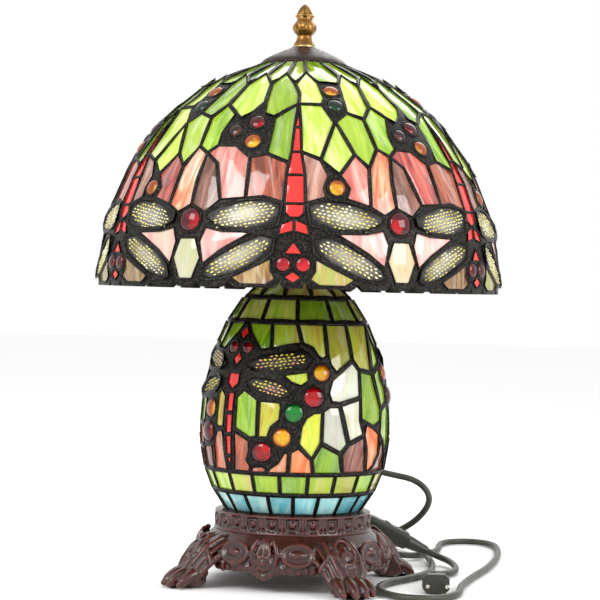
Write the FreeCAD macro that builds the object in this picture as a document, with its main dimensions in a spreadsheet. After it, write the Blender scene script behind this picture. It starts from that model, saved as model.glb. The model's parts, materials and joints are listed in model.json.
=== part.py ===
import FreeCAD, Part
import math
import os
import Sketcher
from FreeCAD import Matrix, Placement, Rotation, Vector

# A stained glass table lamp: a domed shade of leaded glass with six dragonflies, on an egg-shaped
# leaded glass body that stands on a cast base with four scrolled feet.  Millimetres, +Z up, the
# lamp's axis is Z, the front faces -Y and the feet stand on z = 0.

doc = FreeCAD.newDocument("stained_glass_table_lamp")

# ---------------------------------------------------------------- driving dimensions

SIZES = [
    ("shade_radius", 200.0, "radius of the dome at its rim"),
    ("shade_rise", 225.0, "vertical half axis of the dome's ellipse"),
    ("shade_rim_level", 300.0, "height of the dome's rim line"),
    ("shade_hem", 5.0, "how far the lead edge hangs below the rim line"),
    ("cap_radius", 42.0, "radius of the opening that the vented cap covers"),
    ("glass_thickness", 3.0, "thickness of every flat pane"),
    ("came_thickness", 5.0, "thickness of the leading, from outside to inside"),
    ("came_width", 3.2, "width of the leading between two panes"),
    ("wing_came_width", 5.0, "width of the heavy leading round a wing"),
    ("filigree_thickness", 0.5, "thickness of the pierced metal laid on a wing"),
    ("egg_radius", 93.5, "largest radius of the glass body"),
    ("egg_middle_level", 150.0, "height where the glass body is widest"),
    ("egg_upper_rise", 166.0, "half axis of the body's upper ellipse"),
    ("egg_lower_drop", 109.0, "half axis of the body's lower ellipse"),
    ("egg_bottom_level", 73.0, "height where the glass body sits on its collar"),
    ("egg_top_level", 309.0, "height where the neck cap closes the body"),
    ("collar_margin", 13.4, "how far the cast collar stands out beyond the glass it carries"),
    ("collar_radius", "=egg_radius * sqrt(1 - ((egg_middle_level - egg_bottom_level)"
     " / egg_lower_drop) ^ 2) + collar_margin", "outer radius of the cast collar"),
    ("collar_height", 20.0, "height of the cast collar"),
    ("apron_flare", 17.5, "how far the base's skirt spreads beyond the collar"),
    ("apron_radius", "=collar_radius + apron_flare", "radius of the skirt at its lower edge"),
    ("apron_level", 25.0, "height of the skirt's lower edge"),
    ("cast_wall", 5.0, "wall of the base casting"),
    ("foot_reach", 31.0, "how far a foot's middle stands outside the skirt"),
    ("foot_circle", "=apron_radius + foot_reach", "radius of the circle through the four feet"),
    ("first_foot_angle", 29.0, "angle of the first foot from the front"),
    ("pad_radius", 9.0, "radius of a felt pad"),
    ("pad_thickness", 1.0, "thickness of a felt pad"),
    ("plate_thickness", 2.0, "thickness of the plate that closes the base"),
    ("rod_radius", 5.0, "radius of the threaded rod through the lamp"),
    ("rod_clearance", 0.06, "radial clearance of whatever turns on the rod"),
    ("rod_pitch", 1.0, "rise of the rod's thread in one turn"),
    ("nut_flats", 17.0, "width of a nut over its flats"),
    ("nut_height", 5.0, "height of a nut"),
    ("washer_radius", 12.0, "radius of a washer"),
    ("washer_thickness", 1.5, "thickness of a washer"),
    ("neck_radius", 27.0, "radius of the neck cap on the glass body"),
    ("neck_height", 14.0, "height of the neck cap"),
    ("sleeve_radius", 8.0, "outer radius of the stem's sleeve"),
    ("stem_length", 75.0, "length of the stem's sleeve under the socket cluster"),
    ("cluster_level", "=egg_top_level + neck_height + stem_length",
     "height of the underside of the socket cluster"),
    ("cluster_height", 32.0, "height of the socket cluster"),
    ("cluster_radius", 16.0, "radius of the socket cluster"),
    ("holder_radius", 17.5, "outer radius of a lamp holder"),
    ("holder_length", 44.0, "length of a lamp holder"),
    ("bulb_cap_radius", 13.0, "radius of a bulb's screw cap"),
    ("bulb_radius", 27.0, "radius of a bulb's glass"),
    ("bulb_length", 84.0, "length of a bulb beyond its holder"),
    ("night_bulb_radius", 17.0, "radius of the bulb inside the glass body"),
    ("spider_drop", 14.0, "how far the spider hangs below the shade's cap opening"),
    ("spider_level", "=shade_rim_level + shade_rise * sqrt(1 - (cap_radius / shade_radius) ^ 2)"
     " - spider_drop", "height of the underside of the shade's spider"),
    ("spider_height", 5.0, "height of the spider's hub"),
    ("cap_height", 18.0, "height of the vented cap"),
    ("cap_wall", 1.6, "wall of the vented cap"),
    ("finial_height", 42.5, "height of the finial"),
    ("finial_radius", 12.0, "largest radius of the finial"),
    ("finial_bore", 15.0, "depth of the finial's threaded hole"),
    ("cord_diameter", 7.0, "diameter of the round mains cord"),
    ("switch_length", 52.0, "length of the switch housing on the cord"),
    ("switch_width", 26.0, "width of the switch housing"),
    ("switch_depth", 18.0, "thickness of the switch housing"),
    ("plug_length", 46.0, "length of the plug body"),
    ("plug_width", 26.0, "width of the plug body"),
    ("plug_pin_radius", 2.0, "radius of a plug pin"),
    ("plug_pin_length", 19.0, "length of a plug pin"),
    ("plug_pin_spacing", 19.0, "distance between the two plug pins"),
]

sheet = doc.addObject("Spreadsheet::Sheet", "sizes")
for row, (alias, value, meaning) in enumerate(SIZES, start=1):
    sheet.set("A%d" % row, alias)
    sheet.set("B%d" % row, str(value))
    sheet.setAlias("B%d" % row, alias)
    sheet.set("C%d" % row, meaning)
doc.recompute()


class Size:
    """The sheet's values by name, for shapes that are made with Part's functions.

    A value that starts with "=" follows from others, so that pieces stay together.
    """

    def __getattr__(self, alias):
        return float(sheet.get(alias))


size = Size()
parts = {}


def register(node, made):
    """Give a sub-part the label that also names its file."""
    made.Label = node
    parts[node] = made
    return made


def feature(node, shape, placement=Placement()):
    """A sub-part whose shape is made with Part's own functions."""
    made = doc.addObject("Part::Feature", node)
    made.Shape = shape
    made.Placement = placement
    return register(node, made)


def primitive(kind, name, expressions, placement=Placement()):
    """A Part primitive with each size bound to the sheet."""
    made = doc.addObject("Part::" + kind, name)
    made.Placement = placement
    for prop, expression in expressions.items():
        made.setExpression(prop, expression)
    return made


def turned(node, outline):
    """A PartDesign body turned about Z.  The outline lists (radius, height) expressions."""
    body = doc.addObject("PartDesign::Body", node)
    sketch = body.newObject("Sketcher::SketchObject", node + "_outline")
    plane = [f for f in body.Origin.OriginFeatures if f.Role == "XZ_Plane"][0]
    sketch.AttachmentSupport = [(plane, "")]
    sketch.MapMode = "FlatFace"
    corners = []
    for pair in outline:
        values = [FreeCAD.Units.Quantity(sketch.evalExpression(text)).Value for text in pair]
        corners.append(values)
    count = len(corners)
    for i in range(count):
        start, end = corners[i], corners[(i + 1) % count]
        sketch.addGeometry(Part.LineSegment(Vector(*start, 0), Vector(*end, 0)), False)
    for i in range(count):
        sketch.addConstraint(Sketcher.Constraint("Coincident", i, 2, (i + 1) % count, 1))
    for i, pair in enumerate(outline):
        for kind, text, value in zip(("DistanceX", "DistanceY"), pair, corners[i]):
            index = sketch.addConstraint(Sketcher.Constraint(kind, -1, 1, i, 1, value))
            sketch.setExpression("Constraints[%d]" % index, text)
    turning = body.newObject("PartDesign::Revolution", node + "_turning")
    turning.Profile = sketch
    turning.ReferenceAxis = (sketch, ["V_Axis"])
    turning.Angle = 360.0
    return register(node, body)


def around(angle, radius=0.0, height=0.0):
    """A placement at an angle from the front, counted towards +X, with its +X outwards."""
    turn = math.radians(angle)
    spot = Vector(radius * math.sin(turn), -radius * math.cos(turn), height)
    return Placement(spot, Rotation(Vector(0, 0, 1), angle - 90.0))


def revolve(outline):
    """A solid of revolution about Z from straight (radius, height) corners."""
    corners = [Vector(r, 0, z) for r, z in outline]
    face = Part.Face(Part.makePolygon(corners + corners[:1]))
    return face.revolve(Vector(0, 0, 0), Vector(0, 0, 1), 360)


def smooth_revolve(curve, closing):
    """A solid of revolution whose outer line is a smooth curve through the given points."""
    spline = Part.BSplineCurve()
    spline.interpolate([Vector(r, 0, z) for r, z in curve])
    chain = [curve[-1]] + closing + [curve[0]]
    edges = [spline.toShape()]
    for (r0, z0), (r1, z1) in zip(chain, chain[1:]):
        edges.append(Part.makeLine(Vector(r0, 0, z0), Vector(r1, 0, z1)))
    face = Part.Face(Part.Wire(edges))
    return face.revolve(Vector(0, 0, 0), Vector(0, 0, 1), 360)


# ---------------------------------------------------------------- glass surfaces

def ellipse_station(radius, rise, level, turn):
    """Point of an ellipse's quarter, as (radius, height), at a parameter in radians."""
    return radius * math.cos(turn), level + rise * math.sin(turn)


class Dome:
    """The shade's middle surface: an elliptical dome measured up along its curve.

    A place is (angle from the front, distance up the curve), and the distances are for a dome
    whose curve is 285 mm long from rim line to cap: other sizes stretch them.
    """

    CURVE = 285.0
    RADIUS = 200.0
    STEPS = 240
    FIRST = 12

    def __init__(self):
        self.last = math.acos(size.cap_radius / size.shade_radius)
        climb = self.STEPS - self.FIRST
        self.turns = [self.last * (i - self.FIRST) / climb for i in range(self.STEPS + 1)]
        self.scale = size.shade_radius / self.RADIUS
        self.run = [0.0]
        stations = [ellipse_station(size.shade_radius, size.shade_rise, 0, t) for t in self.turns]
        for (r0, z0), (r1, z1) in zip(stations, stations[1:]):
            self.run.append(self.run[-1] + math.hypot(r1 - r0, z1 - z0))
        self.offset = self.run[self.FIRST]
        self.length = self.run[self.STEPS] - self.offset

    def station(self, up):
        wanted = up / self.CURVE * self.length + self.offset
        i = max(j for j in range(self.STEPS) if j == 0 or self.run[j] <= wanted)
        part = (wanted - self.run[i]) / (self.run[i + 1] - self.run[i])
        turn = self.turns[i] + part * (self.turns[i + 1] - self.turns[i])
        return ellipse_station(size.shade_radius, size.shade_rise, size.shade_rim_level, turn)

    def place(self, angle, up):
        radius, height = self.station(up)
        turn = math.radians(angle)
        return Vector(radius * math.sin(turn), -radius * math.cos(turn), height)


class Egg:
    """The lit body's middle surface, two half ellipses, with places (angle, height).

    The heights are for a body from 73 to 309 mm: other sizes stretch them.
    """

    BOTTOM = 73.0
    TOP = 309.0
    RADIUS = 93.5

    def __init__(self):
        self.scale = size.egg_radius / self.RADIUS

    def station(self, level):
        share = (level - self.BOTTOM) / (self.TOP - self.BOTTOM)
        height = size.egg_bottom_level + share * (size.egg_top_level - size.egg_bottom_level)
        off = height - size.egg_middle_level
        half_axis = size.egg_upper_rise if off > 0 else size.egg_lower_drop
        return size.egg_radius * math.sqrt(1.0 - (off / half_axis) ** 2), height

    def place(self, angle, level):
        radius, height = self.station(level)
        turn = math.radians(angle)
        return Vector(radius * math.sin(turn), -radius * math.cos(turn), height)


dome = Dome()
egg = Egg()
CUT_REACH = 12.0
BORDER_SHIFT = 12.3
NEAR_AXIS = 20.0


def flat_frame(corners):
    """Centre and axes (along, up, out) of the plane that fits a ring of corners best."""
    centre = Vector()
    for corner in corners:
        centre += corner * (1.0 / len(corners))
    out = Vector()
    for a, b in zip(corners, corners[1:] + corners[:1]):
        out += (a - centre).cross(b - centre)
    out.normalize()
    if out.dot(Vector(centre.x, centre.y, 0)) < 0:
        out = -out
    along = Vector(0, 0, 1).cross(out)
    along.normalize()
    return centre, along, out.cross(along), out


def inset(ring, gap):
    """A flat ring of (x, y) corners, counter-clockwise, with every side moved in by the gap."""
    area = sum(a[0] * b[1] - b[0] * a[1] for a, b in zip(ring, ring[1:] + ring[:1]))
    if area < 0:
        ring = ring[::-1]
    sides = []
    for (x0, y0), (x1, y1) in zip(ring, ring[1:] + ring[:1]):
        long = math.hypot(x1 - x0, y1 - y0)
        dx, dy = (x1 - x0) / long, (y1 - y0) / long
        sides.append((x0 - dy * gap, y0 + dx * gap, dx, dy))
    moved = []
    for (x0, y0, dx0, dy0), (x1, y1, dx1, dy1) in zip(sides[-1:] + sides[:-1], sides):
        cross = dx0 * dy1 - dy0 * dx1
        if abs(cross) < 0.05:
            moved.append((x1, y1))
            continue
        along = ((x1 - x0) * dy1 - (y1 - y0) * dx1) / cross
        moved.append((x0 + dx0 * along, y0 + dy0 * along))
    return moved


def slab(frame, ring, low, high):
    """A flat plate with the ring's outline, between two distances from the frame's plane."""
    centre, along, up, out = frame
    points = [centre + along * x + up * y + out * low for x, y in ring]
    return Part.Face(Part.makePolygon(points + points[:1])).extrude(out * (high - low))


def jewel(surface, angle, up, radius):
    """A round pressed jewel set in the surface, its dome outwards, and the cutter for its hole."""
    step = 0.5
    radius = radius * min(1.0, surface.scale)
    here = surface.place(angle, up)
    slope = surface.place(angle, up + step) - surface.place(angle, up - step)
    level = surface.place(angle + step, up) - surface.place(angle - step, up)
    out = level.cross(slope)
    out.normalize()
    turn = Rotation(Vector(0, 0, 1), out)
    half = size.glass_thickness / 2.0
    crown = 0.36 * radius
    solid = revolve([(0, -half), (radius, -half), (radius, half), (radius * 0.92, half + crown * 0.36),
                     (radius * 0.7, half + crown * 0.72), (radius * 0.38, half + crown * 0.94),
                     (0, half + crown)])
    solid.Placement = Placement(here, turn)
    cutter = Part.makeCylinder(radius, 2 * CUT_REACH, here - out * CUT_REACH, out)
    return solid, cutter


class Glazing:
    """Collects one glass body's panes, jewels and the cutters that open its leading."""

    def __init__(self, surface):
        self.surface = surface
        self.groups = {}
        self.cutters = []

    def pane(self, group, cell, came):
        corners = [self.surface.place(*corner) for corner in cell]
        frame = flat_frame(corners)
        centre, along, up, out = frame
        ring = [((c - centre).dot(along), (c - centre).dot(up)) for c in corners]
        ring = inset(ring, came / 2.0)
        half = size.glass_thickness / 2.0
        self.groups.setdefault(group, []).append(slab(frame, ring, -half, half))
        self.cutters.append(slab(frame, ring, -CUT_REACH, CUT_REACH))
        return frame, ring

    def wing(self, group, filigree, cell):
        frame, ring = self.pane(group, cell, size.wing_came_width)
        half = size.glass_thickness / 2.0
        plate = slab(frame, ring, half, half + size.filigree_thickness)
        self.groups.setdefault(filigree, []).append(plate)

    def stone(self, group, angle, up, radius):
        solid, cutter = jewel(self.surface, angle, up, radius)
        self.groups.setdefault(group, []).append(solid)
        self.cutters.append(cutter)

    def notch(self, cell):
        corners = [self.surface.place(*corner) for corner in cell]
        frame = flat_frame(corners)
        centre, along, up, out = frame
        ring = [((c - centre).dot(along), (c - centre).dot(up)) for c in corners]
        self.cutters.append(slab(frame, ring, -CUT_REACH, CUT_REACH))

    def sector_of(self, spot, first, sectors):
        """The number of the repeat that a point lies in, with borders where nothing is centred."""
        angle = math.degrees(math.atan2(spot.x, -spot.y)) - first - BORDER_SHIFT
        return int((angle % 360.0) / (360.0 / sectors))

    def missed(self, web, first, sectors):
        """Cutters that a large cut left out: their repeat then has fewer faces than the others."""
        counts = [0] * sectors
        for face in web.Faces:
            centre = face.CenterOfMass
            if math.hypot(centre.x, centre.y) > NEAR_AXIS:
                counts[self.sector_of(centre, first, sectors)] += 1
        found = []
        for cutter in self.cutters:
            centre = cutter.CenterOfMass
            if counts[self.sector_of(centre, first, sectors)] < max(counts):
                if web.isInside(centre, 0.001, False):
                    found.append(cutter)
        return found

    def publish(self, lattice, shell, first, sectors):
        web = shell.cut(self.cutters)
        for cutter in self.missed(web, first, sectors):
            web = web.cut(cutter)
        feature(lattice, web)
        for group, solids in self.groups.items():
            feature(group, Part.makeCompound(solids))


def mirrored(cell):
    """The same cell on the other side of its dragonfly."""
    return [(-angle, up) for angle, up in cell]


def turned_cell(cell, angle):
    return [(a + angle, up) for a, up in cell]


# ---------------------------------------------------------------- the shade

# One sixth of the shade, from one dragonfly's axis to the next.  Cells share their corners.
LEAVES = [
    [(3, 285), (23, 285), (24.5, 236), (20, 217), (9.5, 219), (3, 240)],
    [(23, 285), (38, 285), (38.5, 236), (31.5, 216), (24.5, 236)],
    [(38, 285), (51, 285), (51.5, 236), (45, 216), (38.5, 236)],
    [(51, 285), (63, 285), (63, 240), (57.5, 216), (51.5, 236)],
    [(-2.5, 216), (3, 240), (9.5, 219), (11, 193), (9.5, 182), (0, 182), (0, 200)],
    [(24.5, 236), (31.5, 216), (29.8, 182), (25, 165), (18.5, 172), (19, 195), (20, 217)],
    [(38.5, 236), (45, 216), (46, 184), (43, 172), (38.5, 162), (29.8, 182), (31.5, 216)],
    [(51.5, 236), (57.5, 216), (60, 200), (60, 182), (51, 164), (47, 169), (46, 184), (45, 216)],
    [(0, 182), (9.5, 182), (13.5, 160), (7.5, 116), (1.4, 124), (1.0, 152)],
    [(13.5, 160), (18.5, 123), (13, 101), (7.5, 116)],
    [(13.5, 160), (18.5, 172), (25, 165), (26.5, 130), (22.5, 109), (18.5, 123)],
    [(29.8, 182), (35.5, 169), (33.3, 145), (33.7, 131), (30.5, 122), (26.5, 130), (25, 165)],
    [(60, 182), (51, 164), (50.5, 122), (57.9, 112), (58.6, 124), (59, 152)],
]
EARTHS = [
    [(1.4, 124), (7.5, 116), (10, 100), (8.5, 88), (9, 78), (3, 72), (2.6, 100)],
    [(13, 101), (18.5, 123), (22.5, 109), (21.5, 70), (14.5, 77), (15.5, 88)],
    [(22.5, 109), (26.5, 130), (30.5, 122), (29.5, 96), (29.5, 70), (25.5, 62), (21.5, 70)],
    [(30.5, 122), (34.8, 112), (38.5, 74), (34.5, 62), (29.5, 70), (29.5, 96)],
    [(33.7, 131), (40, 131), (45.5, 118), (46, 76), (38.5, 74), (34.8, 112), (30.5, 122)],
    [(45.5, 118), (50.5, 122), (57.9, 112), (57.4, 100), (57, 72), (51, 78), (46, 76)],
]
UPPER_WING = [(3, 72), (9, 78), (14.5, 77), (21.5, 70), (25.5, 62), (25, 54), (20, 47.5),
              (10, 46), (4, 51)]
LOWER_WING = [(4.5, 41), (9, 44), (14.5, 38), (20, 27), (24.5, 14), (25.5, 4), (23, 0.5),
              (17, 4), (9, 17), (5.2, 26)]
WEDGE = [(10.5, 45), (20, 46.5), (25, 50), (26.5, 36), (25, 14), (20, 27), (14.5, 38)]
CRESCENT = [(5.6, 23), (9, 17), (17, 4), (14, -3), (7, -3), (4.2, 3), (5.6, 11)]
HEXAGON = [(27.4, 40), (32.6, 40), (34.6, 21), (32.2, 1), (27.8, 1), (25.4, 21)]
DRAGONFLY = [
    [(0, 180), (1.1, 152), (-1.1, 152)],
    [(-1.1, 152), (1.1, 152), (1.6, 124), (-1.6, 124)],
    [(-1.6, 124), (1.6, 124), (2.7, 100), (-2.7, 100)],
    [(-2.7, 100), (2.7, 100), (2.9, 72), (-2.9, 72)],
    [(-2.9, 72), (2.9, 72), (2.7, 63), (1.3, 58.5), (-1.3, 58.5), (-2.7, 63)],
    [(0, 58), (3.6, 53), (4.4, 42), (0, 46)],
    [(0, 58), (-3.6, 53), (-4.4, 42), (0, 46)],
    [(0, 38), (2.9, 25), (-2.9, 25)],
    [(-2.6, 5), (0, 11), (2.6, 5), (0, -1)],
]
# Jewels: group, angle, distance up, radius.
SHADE_JEWELS = [
    ("shade_jewels_amber", 14.7, 204, 8.0), ("shade_jewels_green", 14.8, 182, 8.0),
    ("shade_jewels_red", 45.2, 158, 8.0), ("shade_jewels_brown", 38.0, 148, 7.0),
    ("shade_jewels_amber", 45.3, 135, 8.0), ("shade_jewels_amber", 12.0, 88, 8.0),
    ("shade_jewels_red", 30.0, 56, 11.5), ("shade_eyes", -2.65, 16.5, 7.2),
    ("shade_eyes", 2.65, 16.5, 7.2),
]
# Notches that scallop the lead edge between the lowest panes.
NOTCHES = [
    [(1.8, -9), (3.4, 1), (5.4, -9)], [(13.6, -9), (17.4, 0.5), (20.4, -9)],
    [(24.4, -9), (26.5, 1), (28.6, -9)],
]
SECTORS = 6
FIRST_DRAGONFLY = -1.5


def shell_wire(offset):
    """One side of the shade's leading as an ellipse arc from hem to cap opening."""
    radius, rise = size.shade_radius + offset, size.shade_rise + offset
    low = -math.asin(size.shade_hem / rise)
    high = math.acos(size.cap_radius / radius)
    ends = []
    for turn in (low, (low + high) / 2.0, high):
        r, z = ellipse_station(radius, rise, size.shade_rim_level, turn)
        ends.append(Vector(r, 0, z))
    ellipse = Part.Ellipse(Vector(0, 0, size.shade_rim_level + rise),
                           Vector(radius, 0, size.shade_rim_level),
                           Vector(0, 0, size.shade_rim_level))
    first, last = ellipse.parameter(ends[0]), ellipse.parameter(ends[2])
    arc = Part.ArcOfEllipse(ellipse, min(first, last), max(first, last))
    if arc.toShape().distToShape(Part.Vertex(ends[1]))[0] > 0.1:
        arc = Part.ArcOfEllipse(ellipse, max(first, last), min(first, last) + 2 * math.pi)
    return arc.toShape(), ends[0], ends[2]


def make_shade():
    half = size.came_thickness / 2.0
    outer, outer_low, outer_high = shell_wire(half)
    inner, inner_low, inner_high = shell_wire(-half)
    wire = Part.Wire(Part.__sortEdges__([outer, Part.makeLine(outer_low, inner_low), inner,
                                         Part.makeLine(inner_high, outer_high)]))
    shell = Part.Face(wire).revolve(Vector(0, 0, 0), Vector(0, 0, 1), 360)
    glazing = Glazing(dome)
    thin = size.came_width
    for sector in range(SECTORS):
        spot = FIRST_DRAGONFLY + 360.0 / SECTORS * sector
        for cell in LEAVES:
            glazing.pane("shade_leaf_panes", turned_cell(cell, spot), thin)
        for number, cell in enumerate(EARTHS):
            group = ("shade_mauve_panes", "shade_rose_panes", "shade_rust_panes")[number % 3]
            glazing.pane(group, turned_cell(cell, spot), thin)
        for cell in DRAGONFLY:
            glazing.pane("shade_dragonfly_panes", turned_cell(cell, spot), thin * 0.75)
        glazing.pane("shade_cream_panes", turned_cell(HEXAGON, spot), thin)
        for side in (lambda cell: cell, mirrored):
            for cell in (UPPER_WING, LOWER_WING):
                glazing.wing("shade_wing_panes", "shade_wing_filigree",
                             turned_cell(side(cell), spot))
            glazing.pane("shade_wedge_panes", turned_cell(side(WEDGE), spot), thin)
            glazing.pane("shade_streaky_panes", turned_cell(side(CRESCENT), spot), thin)
            for cell in NOTCHES:
                glazing.notch(turned_cell(side(cell), spot))
        for group, angle, up, radius in SHADE_JEWELS:
            glazing.stone(group, angle + spot, up, radius)
    glazing.publish("shade_leading", shell, FIRST_DRAGONFLY, SECTORS)


# ---------------------------------------------------------------- the glass body

# Half of the body's middle zone as (angle from its dragonfly, height).  The cells of
# EGG_PAIRS are on both sides of the dragonfly, and the others only where they are listed.
EGG_PAIRS = {
    "egg_green_panes": [
        [(1, 261), (23, 261), (25.5, 235), (17.5, 233.5), (13.5, 240), (6.5, 250)],
        [(23, 261), (43, 261), (47, 241), (25.5, 235)],
        [(43, 261), (65, 261), (64, 229), (60.5, 226), (57.5, 229), (54, 237), (47, 241)],
    ],
    "egg_yellow_panes": [
        [(33, 211.3), (51, 215.5), (51.5, 205), (46.5, 199.5), (40, 203)],
    ],
}
EGG_CELLS = {
    "egg_green_panes": [
        [(65, 261), (85, 261), (83.5, 226), (69.5, 213), (65.5, 221), (64.5, 230)],
        [(85, 261), (115, 261), (101, 213.5), (88, 216.5), (83.5, 226)],
        [(115, 261), (116, 229), (114, 222), (102, 213.5)],
        [(4.3, 188.5), (9.5, 196.5), (15.3, 191), (20, 186.5), (20.3, 150), (15.5, 148.5),
         (4.4, 157.5)],
        [(88, 216), (101, 213), (107.5, 177), (105.5, 165), (98, 160.5), (90, 165.5), (86, 168),
         (86.5, 190)],
        [(102.5, 212), (113, 219.5), (114.5, 206), (118.5, 200), (118, 184), (108, 178)],
        [(107.5, 176.5), (117.5, 182), (124.5, 177), (124.5, 150), (116, 134.5), (104.5, 154.5),
         (106, 164)],
        [(59, 145.5), (71.5, 135.5), (74.5, 115.5), (55, 115.5), (53.5, 130)],
        [(-4.3, 188.5), (-9.5, 196.5), (-12.5, 190), (-12, 160), (-10, 157), (-4.4, 157.5)],
        [(-26.5, 185), (-41, 186), (-45.5, 182), (-45, 160), (-28.7, 160), (-27, 168)],
        [(-46.5, 181), (-54, 176.5), (-55, 150.5), (-46.5, 150)],
    ],
    "egg_cream_panes": [
        [(66, 207), (83.5, 225), (88, 216), (86.5, 190), (71, 184), (65, 185), (63, 194)],
        [(59.5, 177), (64, 182), (70.5, 182), (76.3, 144.5), (71.5, 136), (59, 146)],
        [(71, 182.5), (86.5, 189), (86, 168), (88.5, 153), (77, 146)],
    ],
    "egg_yellow_panes": [
        [(20.5, 186.5), (34, 185.5), (35, 180), (34.3, 167), (29, 160), (27, 149.5),
         (20.5, 149.5)],
        [(49.5, 171), (54, 176), (59.5, 177), (59, 146), (53.5, 130), (45, 144.5), (46.5, 162)],
    ],
    "egg_earth_panes": [
        [(76.5, 144), (88.5, 152.5), (91, 140), (93.5, 115.5), (74.5, 115.5), (72, 135)],
        [(104.7, 154), (116, 134.5), (123.5, 115.5), (94.5, 115.5), (100.5, 121.5), (105.5, 134)],
        [(15, 115.5), (25.5, 115.5), (26.5, 121), (23, 123.5), (16.5, 122)],
        [(4.4, 156), (15.3, 147.5), (15.8, 137), (13.5, 127.5), (16, 121.5), (14.5, 115.5),
         (2.4, 115.5), (3.2, 130)],
        [(-4.4, 156), (-10.5, 155.5), (-13, 148), (-14.5, 141), (-15.5, 115.5), (-2.4, 115.5),
         (-3.2, 130)],
        [(-16, 139.5), (-26.5, 139.5), (-29.5, 135), (-30, 115.5), (-16.5, 115.5)],
        [(-46.5, 148.5), (-54.7, 148.5), (-63.2, 134), (-56, 115.5), (-47.5, 115.5),
         (-46.3, 136)],
    ],
    "egg_orange_panes": [
        [(88.8, 153), (90, 165), (98, 160.5), (104.5, 154.5), (105.5, 134), (100.5, 121.5),
         (93.8, 115.5), (91.3, 140)],
        [(40.5, 137.5), (45.5, 142.5), (53.5, 130), (55, 115.5), (39.5, 115.5)],
        [(33, 127), (37, 138), (39.8, 137), (39, 115.5), (26, 115.5), (27.5, 121)],
        [(-29, 158.5), (-45, 158.5), (-45, 137), (-28.5, 137)],
        [(-31.5, 135.5), (-45, 135.5), (-46, 115.5), (-31.5, 115.5)],
    ],
}
EGG_WINGS = [
    [(9, 222), (12, 226), (18, 232), (26, 233.5), (47, 239), (53, 235), (57, 227), (51, 217),
     (30, 212), (14, 214), (9, 217)],
    [(10, 206), (16, 210), (31, 208), (38.5, 201), (43, 193), (41, 188.5), (34, 187),
     (23, 188.5), (15.5, 192), (10, 199)],
]
EGG_DRAGONFLY = [
    [(0, 259), (5, 250), (0, 243), (-5, 250)],
    [(0, 233), (4.5, 225), (0, 217), (-4.5, 225)],
    [(-5, 212), (5, 212), (5, 201), (0, 194), (-5, 201)],
    [(-2.8, 193), (2.8, 193), (2.7, 173), (-2.7, 173)],
    [(-2.7, 172), (2.7, 172), (2.6, 152), (-2.6, 152)],
    [(-2.6, 151), (2.6, 151), (2.2, 131), (-2.2, 131)],
    [(-2.1, 130), (2.1, 130), (0, 117)],
]
# Jewels: group, angle, height, radius.
EGG_JEWELS = [
    ("egg_jewels_amber", 59.4, 213.6, 8.4), ("egg_jewels_red", 54.1, 190.5, 10.4),
    ("egg_jewels_green", 42.3, 175, 9.7), ("egg_jewels_amber", 35.5, 151, 9.2),
    ("egg_jewels_red", 23.4, 136.2, 10.4), ("egg_jewels_red", 6.6, 236.5, 6.2),
    ("egg_jewels_red", -6.6, 236.5, 6.2), ("egg_jewels_amber", -59.4, 213.6, 8.4),
    ("egg_jewels_red", -54.1, 190.5, 10.4), ("egg_jewels_amber", -19, 175.6, 9.1),
    ("egg_jewels_red", -20.7, 153, 10.4),
]
EGG_BANDS = [
    ("egg_blue_band", 20, 0.0, 73.0, 94.0), ("egg_green_band", 20, 9.0, 94.0, 115.0),
    ("egg_olive_bands", 12, 0.0, 261.0, 285.0), ("egg_olive_bands", 12, 15.0, 285.0, 309.0),
]
EGG_HALVES = 2
EGG_FIRST_DRAGONFLY = -43.0


def egg_shell():
    """The solid of the body's leading, between two smooth lines of revolution."""
    half = size.came_thickness / 2.0
    count = 24
    levels = [Egg.BOTTOM + (Egg.TOP - Egg.BOTTOM) * i / count for i in range(count + 1)]
    stations = [egg.station(level) for level in levels]
    sides = []
    for offset in (half, -half):
        spline = Part.BSplineCurve()
        spline.interpolate([Vector(r + offset, 0, z) for r, z in stations])
        sides.append(spline.toShape())
    ends = []
    for r, z in (stations[0], stations[-1]):
        ends.append(Part.makeLine(Vector(r - half, 0, z), Vector(r + half, 0, z)))
    wire = Part.Wire(Part.__sortEdges__(sides + ends))
    return Part.Face(wire).revolve(Vector(0, 0, 0), Vector(0, 0, 1), 360)


def make_egg():
    glazing = Glazing(egg)
    thin = size.came_width
    for turn in range(EGG_HALVES):
        spot = EGG_FIRST_DRAGONFLY + 360.0 / EGG_HALVES * turn
        for group, cells in EGG_CELLS.items():
            for cell in cells:
                glazing.pane(group, turned_cell(cell, spot), thin)
        for side in (lambda cell: cell, mirrored):
            for group, cells in EGG_PAIRS.items():
                for cell in cells:
                    glazing.pane(group, turned_cell(side(cell), spot), thin)
            for cell in EGG_WINGS:
                glazing.wing("egg_wing_panes", "egg_wing_filigree", turned_cell(side(cell), spot))
        for cell in EGG_DRAGONFLY:
            glazing.pane("egg_dragonfly_panes", turned_cell(cell, spot), thin * 0.75)
        for group, angle, up, radius in EGG_JEWELS:
            glazing.stone(group, angle + spot, up, radius)
    for group, count, shift, low, high in EGG_BANDS:
        step = 360.0 / count
        for i in range(count):
            a, b = shift + step * i, shift + step * (i + 1)
            glazing.pane(group, [(a, low + 1), (b, low + 1), (b, high), (a, high)], thin)
    glazing.publish("egg_leading", egg_shell(), EGG_FIRST_DRAGONFLY, EGG_HALVES)


# ---------------------------------------------------------------- the base

def ellipse_wire(centre, along, across, up, wide, tall):
    """An elliptical section for a lofted leg, square to the direction along."""
    major, minor = (wide, tall) if wide >= tall else (tall, wide)
    first = across if wide >= tall else up
    ellipse = Part.Ellipse(Vector(0, 0, 0), major, minor)
    edge = ellipse.toShape()
    second = along.cross(first)
    matrix = Matrix(first.x, second.x, along.x, centre.x, first.y, second.y, along.y, centre.y,
                    first.z, second.z, along.z, centre.z, 0, 0, 0, 1)
    edge.transformShape(matrix)
    return Part.Wire([edge])


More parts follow.
